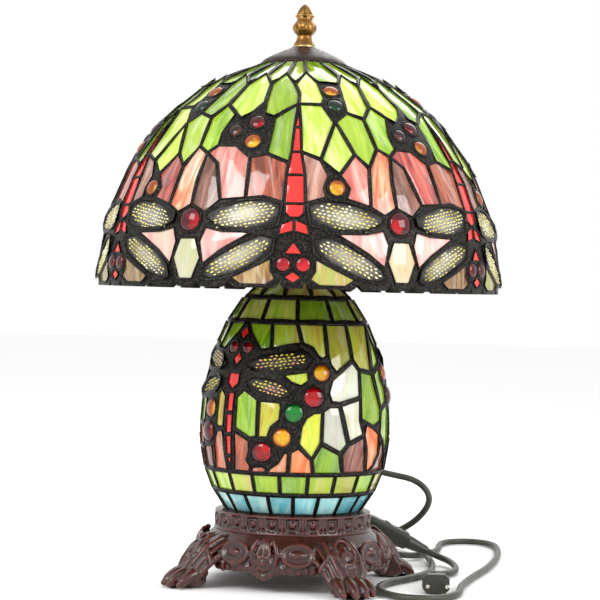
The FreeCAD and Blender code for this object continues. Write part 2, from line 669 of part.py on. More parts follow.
def leg():
    """One broad leg, its outward direction +X, ending in a paw on the felt pad."""
    foot = size.foot_circle
    floor = size.pad_thickness
    # (distance out, height, half width, half thickness, lean of the section's axis)
    stations = [
        (foot - 60, 43.0, 21.0, 7.0, -20), (foot - 42, 40.0, 21.0, 9.0, -28),
        (foot - 24, 31.0, 19.5, 10.0, -38), (foot - 11, 21.0, 18.0, 9.0, -50),
        (foot - 6, 12.0, 17.0, 8.0, -62),
    ]
    sections = []
    for out, height, wide, tall, lean in stations:
        along = Vector(math.cos(math.radians(lean)), 0, math.sin(math.radians(lean)))
        up = Vector(-along.z, 0, along.x)
        sections.append(ellipse_wire(Vector(out, 0, height), along, Vector(0, 1, 0), up,
                                     wide, tall))
    limb = Part.makeLoft(sections, True, False)
    below = Part.makeBox(80, 80, 40, Vector(foot - 60, -40, floor - 40))
    solids = [limb.cut(below)]
    # The paw: a heel and four toes side by side, flat underneath.
    heel = Part.makeSphere(11.0, Vector(foot - 12, 0, 6.0))
    solids.append(heel.cut(below))
    for offset, reach in ((-13.0, 1.0), (-4.5, 4.0), (4.5, 4.0), (13.0, 1.0)):
        toe = Part.makeSphere(7.0, Vector(foot + reach, offset, 6.5))
        nail = Part.makeSphere(4.2, Vector(foot + reach + 6.0, offset, 4.0))
        knuckle = Part.makeSphere(7.0, Vector(foot + reach - 11.0, offset * 0.9, 10.0))
        for ball in (toe, nail, knuckle):
            solids.append(ball.cut(below))
    return solids


def make_base():
    top = size.egg_bottom_level - size.collar_height
    low, wall = size.apron_level, size.cast_wall
    rim, neck = size.apron_radius, size.collar_radius - 4.0
    outer = [(neck, top), (neck + 3.5, top - 5), (rim - 8, top - 12), (rim - 1, top - 20),
             (rim, low)]
    inner = [(rim - wall, low), (rim - wall - 1, top - 19), (rim - wall - 9, top - wall - 8),
             (neck - 2, top - wall)]
    hub = size.rod_radius + 0.5
    outline = outer + inner + [(hub, top - wall), (hub, top)]
    skirt = revolve(outline)
    solids = []
    plate_edge = rim - 0.5
    hollow = revolve([(hub, 0), (plate_edge, 0), (plate_edge, low), (rim - wall, low)] + inner[1:]
                     + [(hub, top - wall)])
    for number in range(4):
        for solid in leg():
            placed = solid.copy()
            placed.Placement = around(size.first_foot_angle + 90 * number)
            solids.append(placed.cut(hollow))
    casting = skirt.multiFuse(solids)
    turn = math.radians(GLAND_ANGLE)
    out = Vector(math.sin(turn), -math.cos(turn), 0)
    casting = casting.cut(Part.makeCylinder(gland_radius(), 40, out * (rim - 22)
                                            + Vector(0, 0, gland_level()), out))
    feature("base_casting", casting.removeSplitter())
    pads = []
    for number in range(4):
        spot = around(size.first_foot_angle + 90 * number, size.foot_circle).Base
        pads.append(Part.makeCylinder(size.pad_radius, size.pad_thickness, spot))
    feature("foot_pads", Part.makeCompound(pads))


def make_collar():
    """The cast ring under the glass body, with a band of raised roundels."""
    top = size.egg_bottom_level
    low = top - size.collar_height
    edge = size.collar_radius
    seat = egg.station(Egg.BOTTOM)[0] - size.came_thickness
    ring = revolve([(seat, low), (edge - 1.5, low), (edge, low + 1.5), (edge, low + 4),
                    (edge - 2.5, low + 5.5), (edge - 2.5, top - 4.5), (edge, top - 3),
                    (edge - 1.0, top), (seat, top)])
    count = 24
    bosses = []
    for i in range(count):
        place = around(360.0 / count * i, edge - 4.0, (low + top) / 2.0 + 0.5)
        out = place.Rotation.multVec(Vector(1, 0, 0))
        bosses.append(Part.makeCylinder(4.6, 3.4, place.Base, out))
    feature("collar_ring", ring.multiFuse(bosses).removeSplitter())


# ---------------------------------------------------------------- rod, fittings and bulbs

def cap_level():
    """Height where the vented cap rests on the leading's upper edge."""
    radius = size.shade_radius + size.came_thickness / 2.0
    rise = size.shade_rise + size.came_thickness / 2.0
    edge = math.sqrt(1.0 - (size.cap_radius / radius) ** 2)
    return size.shade_rim_level + rise * edge + 0.05


def make_rod():
    low = size.apron_level - size.nut_height - 6.0
    top = cap_level() + size.cap_height + size.washer_thickness + size.finial_bore - 2.0
    rod = primitive("Cylinder", "rod_bar", {"Radius": "sizes.rod_radius"})
    rod.Height = top - low
    rod.Placement.Base = Vector(0, 0, low)
    register("threaded_rod", rod)
    nuts, washers = [], []
    wide = size.nut_flats / math.sqrt(3.0)
    # Each pair is a nut and the washer between it and what it clamps.
    base_top = size.egg_bottom_level - size.collar_height
    plate_low = size.apron_level - size.plate_thickness
    spots = [(plate_low - size.washer_thickness - size.nut_height,
              plate_low - size.washer_thickness),
             (base_top + size.washer_thickness, base_top),
             (size.spider_level - size.washer_thickness - size.nut_height,
              size.spider_level - size.washer_thickness)]
    bore = size.rod_radius
    for nut_low, washer_low in spots:
        corners = [Vector(wide * math.cos(math.radians(60 * i)),
                          wide * math.sin(math.radians(60 * i)), nut_low) for i in range(7)]
        block = Part.Face(Part.makePolygon(corners)).extrude(Vector(0, 0, size.nut_height))
        hole = Part.makeCylinder(bore, size.nut_height, Vector(0, 0, nut_low))
        nuts.append(block.cut(hole))
        washers.append(revolve([(bore, washer_low), (size.washer_radius, washer_low),
                                (size.washer_radius, washer_low + size.washer_thickness),
                                (bore, washer_low + size.washer_thickness)]))
    feature("rod_nuts", Part.makeCompound(nuts))
    feature("rod_washers", Part.makeCompound(washers))


def make_turned_fittings():
    bore = "sizes.rod_radius"
    plate_low = "sizes.apron_level - sizes.plate_thickness"
    turned("bottom_plate", [
        (bore, plate_low), ("sizes.apron_radius - 1", plate_low),
        ("sizes.apron_radius - 1", "sizes.apron_level"), (bore, "sizes.apron_level")])
    turned("neck_cap", [
        (bore, "sizes.egg_top_level"), ("sizes.neck_radius", "sizes.egg_top_level"),
        ("sizes.neck_radius", "sizes.egg_top_level + 3"),
        ("sizes.neck_radius - 9", "sizes.egg_top_level + 7"),
        ("sizes.sleeve_radius + 3", "sizes.egg_top_level + 9"),
        ("sizes.sleeve_radius + 3", "sizes.egg_top_level + sizes.neck_height"),
        (bore, "sizes.egg_top_level + sizes.neck_height")])
    turned("stem_sleeve", [
        (bore, "sizes.egg_top_level + sizes.neck_height"),
        ("sizes.sleeve_radius", "sizes.egg_top_level + sizes.neck_height"),
        ("sizes.sleeve_radius", "sizes.cluster_level"), (bore, "sizes.cluster_level")])
    turned("cluster_body", [
        (bore, "sizes.cluster_level"), ("sizes.cluster_radius - 3", "sizes.cluster_level"),
        ("sizes.cluster_radius", "sizes.cluster_level + 3"),
        ("sizes.cluster_radius", "sizes.cluster_level + sizes.cluster_height - 3"),
        ("sizes.cluster_radius - 3", "sizes.cluster_level + sizes.cluster_height"),
        (bore, "sizes.cluster_level + sizes.cluster_height")])
    top = "sizes.cluster_level + sizes.cluster_height"
    turned("upper_sleeve", [
        (bore, top), ("sizes.sleeve_radius", top),
        ("sizes.sleeve_radius", "sizes.spider_level - sizes.nut_height - sizes.washer_thickness"),
        (bore, "sizes.spider_level - sizes.nut_height - sizes.washer_thickness")])


def bulb(cap_radius, cap_length, radius, length):
    """A bulb along +Z: its screw cap from -cap_length to 0, its glass beyond."""
    curve = [(cap_radius, 0), (cap_radius + 0.15 * (radius - cap_radius), length * 0.18),
             (radius * 0.97, length - radius * 1.35), (radius, length - radius),
             (radius * 0.72, length - radius * 0.30), (0, length)]
    return smooth_revolve(curve, [(0, -cap_length), (cap_radius, -cap_length)])


def holder(radius, length, bore, depth):
    """A lamp holder along +Z: a cup that takes the bulb's screw cap in its far end."""
    return revolve([(0, 0), (radius * 0.72, 0), (radius, 6), (radius, length),
                    (bore, length), (bore, length - depth), (0, length - depth)])


def make_bulbs():
    level = size.cluster_level + size.cluster_height / 2.0
    bore = size.bulb_cap_radius
    depth = size.holder_length * 0.6
    holders, bulbs = [], []
    for side in (1, -1):
        turn = Rotation(Vector(0, 0, 1), Vector(side, 0, 0))
        cup = holder(size.holder_radius, size.holder_length, bore, depth)
        cup.Placement = Placement(Vector(side * size.cluster_radius, 0, level), turn)
        holders.append(cup.cut(Part.makeCylinder(size.cluster_radius, 80, Vector(0, 0, level - 40))))
        lamp = bulb(bore, depth - 2, size.bulb_radius, size.bulb_length)
        reach = size.cluster_radius + size.holder_length
        lamp.Placement = Placement(Vector(side * reach, 0, level), turn)
        bulbs.append(lamp)
    feature("lamp_holders", Part.makeCompound(holders))
    feature("bulbs", Part.makeCompound(bulbs))


def make_night_light():
    """The small holder and bulb that light the glass body, on a bracket from the base."""
    top = size.egg_bottom_level - size.collar_height
    reach = 34.0
    post = 30.0
    arm = Part.makeBox(reach + 14, 18, 2.0, Vector(0, -9, 0))
    arm = arm.cut(Part.makeCylinder(size.washer_radius + 0.5, 4, Vector(0, 0, -1)))
    arm = arm.fuse(Part.makeCylinder(4.0, post, Vector(reach, 0, 2.0)))
    placement = around(150.0, 0, top)
    feature("holder_bracket", arm.removeSplitter(), placement)
    turn = placement.Rotation
    spot = placement.Base + turn.multVec(Vector(reach, 0, 2.0 + post))
    cup = holder(13.0, 30.0, 9.5, 20.0)
    feature("night_holder", cup, Placement(spot, Rotation()))
    lamp = bulb(9.5, 18.0, size.night_bulb_radius, 58.0)
    feature("night_bulb", lamp, Placement(spot + Vector(0, 0, 30.0), Rotation()))


# ---------------------------------------------------------------- spider, cap and finial

def make_spider():
    """The brass spider soldered in the shade's opening: hub, four arms and ring."""
    level, high = size.spider_level, size.spider_height
    opening = cap_level()
    bore = size.rod_radius + size.rod_clearance
    boss = size.rod_radius + 6.0
    hub = revolve([(bore, level), (boss, level), (boss, level + high), (bore, level + high)])
    ring_out = size.cap_radius - 0.05
    ring = revolve([(ring_out - 5, level), (ring_out, level), (ring_out, opening),
                    (ring_out - 2, opening), (ring_out - 2, level + 3), (ring_out - 5, level + 3)])
    arms = []
    for number in range(4):
        arm = Part.makeBox(ring_out - boss - 1.0, 7.0, 3.0, Vector(boss - 2.0, -3.5, level))
        arm.Placement = around(45 + 90 * number)
        arms.append(arm)
    feature("shade_spider", hub.multiFuse([ring] + arms).removeSplitter())


def make_cap():
    """The vented cap: a concave cone with rings of pierced holes near its top."""
    low = cap_level()
    high = low + size.cap_height
    wall = size.cap_wall
    edge = size.cap_radius + 2.0
    bore = size.rod_radius + size.rod_clearance
    curve = [(edge, low), (edge * 0.96, low + 2.4), (edge * 0.78, low + 7.6),
             (edge * 0.52, low + 13.0), (edge * 0.36, low + 16.0), (12, high)]
    inner = [(edge - 2.4, low), (edge * 0.77, low + 7.6 - wall * 1.2),
             (edge * 0.51, low + 13.0 - wall * 1.2), (edge * 0.35, low + 16.0 - wall * 1.2)]
    top = [(bore, high), (bore, high - wall * 1.2), (12, high - wall * 1.2)]
    cap = smooth_revolve(curve, top + inner[::-1])
    holes = []
    for radius, count in ((15.5, 16), (20.5, 20), (26.5, 24)):
        for number in range(count):
            spot = around(360.0 / count * (number + 0.5 * (count == 20)), radius, low).Base
            holes.append(Part.makeCylinder(1.1, 24, spot))
    feature("vented_cap", cap.cut(holes))


def finial_base():
    return cap_level() + size.cap_height + size.washer_thickness


def make_finial():
    low = finial_base()
    high = size.finial_height
    wide = size.finial_radius
    share = [(0.88, 0.0), (0.85, 0.05), (0.68, 0.14), (0.60, 0.22), (0.77, 0.285), (1.0, 0.40),
             (0.92, 0.50), (0.70, 0.575), (0.60, 0.64), (0.75, 0.715), (0.65, 0.77),
             (0.50, 0.86), (0.30, 0.94), (0.0, 1.0)]
    curve = [(wide * r, low + high * z) for r, z in share]
    bore = size.rod_radius + size.rod_clearance
    deep = low + size.finial_bore
    feature("finial", smooth_revolve(curve, [(0, deep), (bore, deep), (bore, low)]))
    ring = low - size.washer_thickness
    feature("finial_washer", revolve([(bore, ring), (size.washer_radius - 1.5, ring),
                                      (size.washer_radius - 1.5, low), (bore, low)]))


# ---------------------------------------------------------------- cord, switch and plug

# The cord's route and its fittings are laid for a 7 mm cord and a 97 mm skirt.  They move
# together with the gland when the skirt or the cord changes.
LAID_SKIRT = 97.0785
LAID_CORD = 7.0
GLAND_ANGLE = 150.0
GLAND_LEVEL = 34.0
GLAND_FLANGE = 5.0
NOSE_LENGTH = 20.0
SLEEVE_LENGTH = 22.0
SWITCH_CENTRE = Vector(103, 150, 35)
SWITCH_DROP = 25.0
PLUG_REAR = Vector(142, -24, 10)


def gland_way():
    turn = math.radians(GLAND_ANGLE)
    return Vector(math.sin(turn), -math.cos(turn), 0)


def cord_shift():
    """How far the whole cord moves from where it was laid."""
    lift = Vector(0, 0, (size.cord_diameter - LAID_CORD) / 2.0)
    return gland_way() * (size.apron_radius - LAID_SKIRT) + lift


def gland_level():
    return GLAND_LEVEL + cord_shift().z


def gland_radius():
    return size.cord_diameter / 2.0 + 2.5


# Hand-placed route of the mains cord, base to switch, then switch to plug.
LAMP_SIDE_ROUTE = [
    (51, 88.33, 34), (70, 121.24, 34), (100, 160, 10), (140, 186, 4), (166, 240, 4),
    (170, 300, 4), (184, 331, 4), (216, 338, 4), (236, 310, 4), (236, 262, 4), (228, 190, 4),
    (210, 106, 4), (184, 24, 4), (168, -40, 4), (163, -92, 3.6), (140, -122, 3.6),
    (108, -122, 3.6), (88, -96, 4), (84, -62, 4), (96, -24, 4), (122, 12, 4), (146, 58, 4),
    (152, 128, 4), (150, 160, 4), (144, 204, 15), (130, 266, 6), (108, 306, 4), (74, 310, 4), (54, 280, 4),
    (60, 238, 5), (82, 206, 14), (110, 184, 28), (138, 171, 46), (153, 168, 70),
    (137, 170, 90), (103, 172, 96), (70, 168, 104), (44, 160, 98), (30, 153, 80),
    (46.81, 150, 61.2), (79.44, 150, 45.99),
]
PLUG_SIDE_ROUTE = [
    (126.56, 150, 24.01), (159.19, 150, 8.8), (170, 132, 7), (176, 98, 4), (168, 56, 4),
    (150, 30, 6), (142, 12, 10), (142, -24, 10),
]


def tube(route, diameter):
    """A round tube along straight runs joined by tangent arcs, and its centreline's length."""
    shift = cord_shift()
    points = [Vector(*p) + shift for p in route]
    edges = []
    here = points[0]
    smallest = 1e9
    for before, corner, after in zip(points, points[1:], points[2:]):
        into, away = corner - before, after - corner
        shorter = min(into.Length, away.Length)
        into.normalize()
        away.normalize()
        turn = into.getAngle(away)
        cut = 0.45 * shorter
        radius = cut / math.tan(turn / 2.0)
        smallest = min(smallest, radius)
        start, end = corner - into * cut, corner + away * cut
        middle_way = (away - into)
        middle_way.normalize()
        centre = corner + middle_way * (radius / math.cos(turn / 2.0))
        middle = centre - middle_way * radius
        edges.append(Part.makeLine(here, start))
        edges.append(Part.Arc(start, middle, end).toShape())
        here = end
    edges.append(Part.makeLine(here, points[-1]))
    path = Part.Wire(edges)
    ring = Part.makeCircle(diameter / 2.0, points[0], points[1] - points[0])
    solid = path.makePipeShell([Part.Wire([ring])], True, False)
    expected = math.pi * diameter ** 2 / 4.0 * path.Length
    print("cord tube: length %.0f, volume %.0f against %.0f, smallest radius %.1f"
          % (path.Length, solid.Volume, expected, smallest))
    assert abs(solid.Volume - expected) < 0.02 * expected
    return solid


def rounded_box(length, width, depth, soft):
    box = Part.makeBox(length, width, depth, Vector(-length / 2, -width / 2, -depth / 2))
    return box.makeFillet(soft, box.Edges)


def make_switch():
    """The rocker switch on the cord: two housing halves, a rocker on its pin, two sleeves."""
    place = Placement(SWITCH_CENTRE + cord_shift(), Rotation(Vector(0, 1, 0), SWITCH_DROP))
    length, width, depth = size.switch_length, size.switch_width, size.switch_depth
    block = rounded_box(length, width, depth, 5.0)
    above = Part.makeBox(length, width, depth, Vector(-length / 2, -width / 2, 0))
    window_length, window_width = 20.0, 12.0
    window = Part.makeBox(window_length, window_width, depth,
                          Vector(-window_length / 2, -window_width / 2, -4.5))
    feature("switch_upper_housing", block.common(above).cut(window), place)
    lower_depth = Part.makeBox(length, width, depth, Vector(-length / 2, -width / 2, -depth))
    feature("switch_lower_housing", block.common(lower_depth).cut(window), place)
    clearance = 0.4
    profile = [(-window_length / 2 + clearance, -0.5), (0, -2.2),
               (window_length / 2 - clearance, -0.5), (window_length / 2 - clearance, 8.0),
               (0, 9.6), (-window_length / 2 + clearance, 11.2)]
    corners = [Vector(x, -window_width / 2 + clearance, z) for x, z in profile]
    rocker = Part.Face(Part.makePolygon(corners + corners[:1]))
    rocker = rocker.extrude(Vector(0, window_width - 2 * clearance, 0))
    swing = Part.makeCylinder(10.0 - clearance, window_width, Vector(0, -window_width / 2, 3.0),
                              Vector(0, 1, 0))
    feature("switch_rocker", rocker.common(swing), place)
    sleeves = []
    radius = size.cord_diameter / 2.0
    for side in (1, -1):
        way = Vector(side, 0, 0)
        cone = Part.makeCone(radius + 4.0, radius + 1.5, SLEEVE_LENGTH, Vector(0, 0, 0), way)
        bore = Part.makeCylinder(radius, SLEEVE_LENGTH, Vector(0, 0, 0), way)
        sleeve = cone.cut(bore)
        sleeve.translate(Vector(side * length / 2.0, 0, 0))
        sleeves.append(sleeve)
    feature("switch_sleeves", Part.makeCompound(sleeves), place)


def make_plug():
    """A two-pin plug lying on the floor, its pins towards the front."""
    length = size.plug_length
    radius = size.cord_diameter / 2.0
    place = Placement(PLUG_REAR + cord_shift(), Rotation(Vector(0, 0, 1), -90))
    body = Part.makeLoft([
        Part.makePolygon([Vector(x, y, z) for y, z in ring + ring[:1]])
        for x, ring in ((0, plug_ring(0.46)), (14, plug_ring(0.62)), (length - 14, plug_ring(1.0)),
                        (length, plug_ring(1.0)))], True, True)
    back = Vector(-1, 0, 0)
    tail = Part.makeCone(radius + 3.0, radius + 1.5, SLEEVE_LENGTH, Vector(0, 0, 0), back)
    tail = tail.cut(Part.makeCylinder(radius, SLEEVE_LENGTH, Vector(0, 0, 0), back))
    feature("plug_body", body.fuse(tail).removeSplitter(), place)
    pins = []
    for side in (1, -1):
        start = Vector(length, side * size.plug_pin_spacing / 2.0, 0)
        pin = Part.makeCylinder(size.plug_pin_radius, size.plug_pin_length - 1.0, start,
                                Vector(1, 0, 0))
        tip = Part.makeSphere(size.plug_pin_radius, start + Vector(size.plug_pin_length - 2.0, 0, 0))
        pins.append(pin.fuse(tip).removeSplitter())
    feature("plug_pins", Part.makeCompound(pins), place)


def plug_ring(share):
    """The plug's flat-sided section, an octagon, at a share of its full size."""
    wide, tall = size.plug_width / 2.0 * share + 1.5, 9.4 * share + 0.6
    if share == 1.0:
        wide, tall = size.plug_width / 2.0, 9.4
    nip = tall * 0.45
    return [(wide, -tall + nip), (wide, tall - nip), (wide - nip, tall), (-wide + nip, tall),
            (-wide, tall - nip), (-wide, -tall + nip), (-wide + nip, -tall), (wide - nip, -tall)]


def make_gland():
    """The bush in the base's wall, with the tapered nose that the cord comes out of."""
    out = gland_way()
    radius = size.cord_diameter / 2.0
    root = out * (size.apron_radius + GLAND_FLANGE) + Vector(0, 0, gland_level())
    barrel = Part.makeCylinder(gland_radius(), 14.0, root - out * 17.0, out)
    flange = Part.makeCylinder(radius + 5.0, 3.0, root - out * 3.0, out)
    nose = Part.makeCone(radius + 3.5, radius + 1.5, NOSE_LENGTH, root, out)
    bush = barrel.multiFuse([flange, nose])
    bore = Part.makeCylinder(radius, NOSE_LENGTH, root, out)
    feature("cord_gland", bush.cut(bore).removeSplitter())


# ---------------------------------------------------------------- build, check and write

def make_all():
    make_turned_fittings()
    make_base()
    make_collar()
    make_rod()
    make_bulbs()
    make_night_light()
    make_spider()
    make_cap()
    make_finial()
    make_gland()
    make_switch()
    make_plug()
    feature("cord_lamp_side", tube(LAMP_SIDE_ROUTE, size.cord_diameter))
    feature("cord_plug_side", tube(PLUG_SIDE_ROUTE, size.cord_diameter))
    make_egg()
    make_shade()
    doc.recompute()


def check_all():
    for made in doc.Objects:
        for state in made.State:
            if state in ("Invalid", "Error"):
                raise RuntimeError("%s is %s" % (made.Label, state))
    for node, made in parts.items():
        shape = made.Shape
        if shape.isNull() or not shape.isValid() or not shape.Solids:
            raise RuntimeError("%s has no valid solid" % node)


def write_all():
    os.makedirs("parts", exist_ok=True)
    for node, made in sorted(parts.items()):
        made.Shape.exportStep(os.path.join("parts", node + ".step"))
        box = made.Shape.BoundBox
        print("%-24s %4d solids  z %6.1f to %6.1f" % (node, len(made.Shape.Solids), box.ZMin,
                                                      box.ZMax))


make_all()
check_all()
write_all()
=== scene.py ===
import json
import math
import random
import bpy
import bmesh
from mathutils import Matrix, Vector, noise

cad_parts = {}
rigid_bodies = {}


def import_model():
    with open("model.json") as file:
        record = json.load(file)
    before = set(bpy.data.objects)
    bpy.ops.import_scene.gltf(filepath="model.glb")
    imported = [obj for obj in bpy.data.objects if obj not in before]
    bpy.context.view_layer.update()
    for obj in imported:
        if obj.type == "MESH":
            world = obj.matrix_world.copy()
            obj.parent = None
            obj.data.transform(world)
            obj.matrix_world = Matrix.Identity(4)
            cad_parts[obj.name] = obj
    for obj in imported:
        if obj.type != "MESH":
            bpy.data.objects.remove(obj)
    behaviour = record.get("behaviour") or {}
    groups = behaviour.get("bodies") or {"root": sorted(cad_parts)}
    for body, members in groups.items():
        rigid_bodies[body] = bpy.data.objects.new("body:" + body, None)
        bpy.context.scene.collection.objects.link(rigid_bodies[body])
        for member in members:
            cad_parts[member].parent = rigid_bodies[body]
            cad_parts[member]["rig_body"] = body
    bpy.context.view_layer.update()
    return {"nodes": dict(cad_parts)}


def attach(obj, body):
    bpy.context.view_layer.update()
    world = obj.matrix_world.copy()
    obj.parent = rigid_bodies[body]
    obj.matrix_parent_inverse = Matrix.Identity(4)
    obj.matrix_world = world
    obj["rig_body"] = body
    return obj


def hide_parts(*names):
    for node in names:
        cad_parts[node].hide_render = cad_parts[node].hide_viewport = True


# A stained glass table lamp: leaded glass dome with dragonflies, leaded glass body, cast base.
# Everything is in metres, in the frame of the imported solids.

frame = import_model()
NODES = frame["nodes"]
MM = 0.001
AXIS_Z = Vector((0, 0, 1))
random.seed(7)


# ------------------------------------------------------------------ small tools

def linear(hex_colour):
    """An sRGB hex colour as the linear RGBA that a shader takes."""
    channels = [int(hex_colour[i:i + 2], 16) / 255 for i in (1, 3, 5)]
    return [c / 12.92 if c <= 0.04045 else ((c + 0.055) / 1.055) ** 2.4 for c in channels] + [1.0]


def add(tree, kind, inputs=None, **settings):
    """Add a node: settings are its properties, inputs are values or other nodes' outputs."""
    node = tree.nodes.new(kind)
    for name, value in settings.items():
        setattr(node, name, value)
    for socket, value in (inputs or {}).items():
        if isinstance(value, bpy.types.NodeSocket):
            tree.links.new(value, node.inputs[socket])
        else:
            node.inputs[socket].default_value = value
    return node


def set_stops(ramp, stops):
    """Give a colour ramp its stops, (place, hex colour) from left to right."""
    elements = ramp.color_ramp.elements
    while len(elements) < len(stops):
        elements.new(0.5)
    for element, (place, colour) in zip(elements, stops):
        element.position = place
        element.color = linear(colour)


def new_material(name, **principled):
    """A material with its principled shader's sockets set, its tree and that shader."""
    material = bpy.data.materials.new(name)
    material.use_nodes = True
    tree = material.node_tree
    shader = tree.nodes["Principled BSDF"]
    for socket, value in principled.items():
        shader.inputs[socket.replace("_", " ")].default_value = value
    return material, tree, shader


def piece_from(bm, name, material, smooth=None):
    """Make an object of a finished bmesh, shaded smooth below an angle in degrees."""
    mesh = bpy.data.meshes.new(name)
    if smooth is not None:
        for face in bm.faces:
            face.smooth = True
        for edge in bm.edges:
            edge.smooth = len(edge.link_faces) < 2 or edge.calc_face_angle(0) < math.radians(smooth)
    bm.to_mesh(mesh)
    bm.free()
    piece = bpy.data.objects.new(name, mesh)
    bpy.context.scene.collection.objects.link(piece)
    piece.data.materials.append(material)
    return piece


def paint(tree, shader, value, stops):
    """Colour a finish by a value from 0 to 1 through colour stops."""
    ramp = add(tree, "ShaderNodeValToRGB", {"Fac": value})
    set_stops(ramp, stops)
    tree.links.new(ramp.outputs["Color"], shader.inputs["Base Color"])


def emboss(tree, shader, height, strength, depth):
    """Raise a finish's surface by a value, at most by a depth in metres."""
    bump = add(tree, "ShaderNodeBump", {"Height": height, "Strength": strength, "Distance": depth})
    tree.links.new(bump.outputs["Normal"], shader.inputs["Normal"])


def around(angle, radius=0.0, height=0.0):
    """A matrix at an angle from the front, counted towards +X, with its +X pointing outwards."""
    turn = math.radians(angle)
    spot = Vector((radius * math.sin(turn), -radius * math.cos(turn), height))
    return Matrix.Translation(spot) @ Matrix.Rotation(turn - math.pi / 2, 4, "Z")


def scaled(x, y, z):
    """A matrix that stretches along the three axes."""
    return Matrix.Diagonal((x, y, z, 1.0))


def spin_profile(bm, profile, steps=96, matrix=Matrix.Identity(4)):
    """Turn a (radius, height) outline about Z, then move it by a matrix."""
    before = set(bm.verts)
    corners = [bm.verts.new((r, 0, z)) for r, z in profile]
    edges = [bm.edges.new(pair) for pair in zip(corners, corners[1:])]
    bmesh.ops.spin(bm, geom=corners + edges, cent=(0, 0, 0), axis=(0, 0, 1), dvec=(0, 0, 0),
                   angle=math.tau, steps=steps, use_merge=True, use_duplicate=False)
    made = [v for v in bm.verts if v not in before]
    bmesh.ops.remove_doubles(bm, verts=made, dist=1e-6)
    made = [v for v in bm.verts if v not in before]
    bmesh.ops.transform(bm, matrix=matrix, verts=made)
    faces = [f for f in bm.faces if f.verts[0] in set(made)]
    bmesh.ops.recalc_face_normals(bm, faces=faces)


def lump(bm, matrix, detail=2):
    """A rounded lump: a unit ball through a matrix."""
    bmesh.ops.create_icosphere(bm, subdivisions=detail, radius=1.0, matrix=matrix)


def boss(bm, spot, size, matrix=Matrix.Identity(4), detail=2):
    """A rounded boss of a casting: its place and half sizes in mm, in a matrix's frame."""
    lump(bm, matrix @ Matrix.Translation(Vector(spot) * MM) @ scaled(*(Vector(size) * MM)), detail)


def hoop(bm, matrix, radius, thickness, steps=32):
    """A ring of round section, its axis along the matrix's Z."""
    before = set(bm.verts)
    circle = bmesh.ops.create_circle(bm, segments=8, radius=thickness)["verts"]
    bmesh.ops.rotate(bm, verts=circle, cent=(0, 0, 0), matrix=Matrix.Rotation(math.pi / 2, 3, "X"))
    bmesh.ops.translate(bm, verts=circle, vec=(radius, 0, 0))
    edges = list({e for v in circle for e in v.link_edges})
    bmesh.ops.spin(bm, geom=circle + edges, cent=(0, 0, 0), axis=(0, 0, 1), dvec=(0, 0, 0),
                   angle=math.tau, steps=steps, use_merge=True, use_duplicate=False)
    made = [v for v in bm.verts if v not in before]
    bmesh.ops.remove_doubles(bm, verts=made, dist=1e-6)
    made = [v for v in bm.verts if v not in before]
    bmesh.ops.recalc_face_normals(bm, faces=list({f for v in made for f in v.link_faces}))
    bmesh.ops.transform(bm, matrix=matrix, verts=made)


# ------------------------------------------------------------------ camera

def make_camera():
    """The viewer stands two metres in front, level with the body's top, tilted a little."""
    data = bpy.data.cameras.new("viewer")
    data.sensor_width = 36.0
    data.lens = 118.4
    camera = bpy.data.objects.new("viewer", data)
    bpy.context.scene.collection.objects.link(camera)
    camera.location = (0.002, -2.0, 0.2847)
    lean = math.radians(1.4)
    camera.rotation_euler = (math.radians(90), -lean, 0)
    bpy.context.scene.camera = camera


make_camera()

# ------------------------------------------------------------------ mains cord

LAMP_SIDE_ROUTE = [
    (51, 88.33, 34), (70, 121.24, 34), (100, 160, 10), (140, 186, 4), (166, 240, 4),
    (170, 300, 4), (184, 331, 4), (216, 338, 4), (236, 310, 4), (236, 262, 4), (228, 190, 4),
    (210, 106, 4), (184, 24, 4), (168, -40, 4), (163, -92, 3.6), (140, -122, 3.6),
    (108, -122, 3.6), (88, -96, 4), (84, -62, 4), (96, -24, 4), (122, 12, 4), (146, 58, 4),
    (152, 128, 4), (150, 160, 4), (144, 204, 15), (130, 266, 6), (108, 306, 4), (74, 310, 4),
    (54, 280, 4), (60, 238, 5), (82, 206, 14), (110, 184, 28), (138, 171, 46), (153, 168, 70),
    (137, 170, 90), (103, 172, 96), (70, 168, 104), (44, 160, 98), (30, 153, 80),
    (46.81, 150, 61.2), (79.44, 150, 45.99),
]
PLUG_SIDE_ROUTE = [
    (126.56, 150, 24.01), (159.19, 150, 8.8), (170, 132, 7), (176, 98, 4), (168, 56, 4),
    (150, 30, 6), (142, 12, 10), (142, -24, 10),
]
CORD_DIAMETER = 7.0


def cord_sheath():
    """PVC cord sheath: extruded and matt, with the faint ribs that the twisted cores press out."""
    material, tree, shader = new_material("pvc_cord_sheath", Roughness=0.42)
    place = add(tree, "ShaderNodeTexCoord")
    blotch = add(tree, "ShaderNodeTexNoise", {"Vector": place.outputs["Object"], "Scale": 60.0,
                                              "Detail": 3.0})
    paint(tree, shader, blotch.outputs["Fac"], [(0.3, "#2B2B24"), (0.7, "#45443A")])
    emboss(tree, shader, blotch.outputs["Fac"], 0.2, 0.0003)
    return material


SHEATH = cord_sheath()


def cord_curve(name, route):
    """A round cord whose smooth line has the route's points as its control points."""
    curve = bpy.data.curves.new(name, "CURVE")
    curve.dimensions = "3D"
    curve.bevel_depth = CORD_DIAMETER / 2 * MM
    curve.bevel_resolution = 4
    curve.resolution_u = 8
    curve.use_fill_caps = True
    spline = curve.splines.new("NURBS")
    spline.points.add(len(route) - 1)
    for point, (x, y, z) in zip(spline.points, route):
        point.co = (x * MM, y * MM, z * MM, 1.0)
    spline.order_u = 3
    spline.use_endpoint_u = True
    piece = bpy.data.objects.new(name, curve)
    bpy.context.scene.collection.objects.link(piece)
    piece.data.materials.append(SHEATH)
    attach(piece, "base")
    return piece


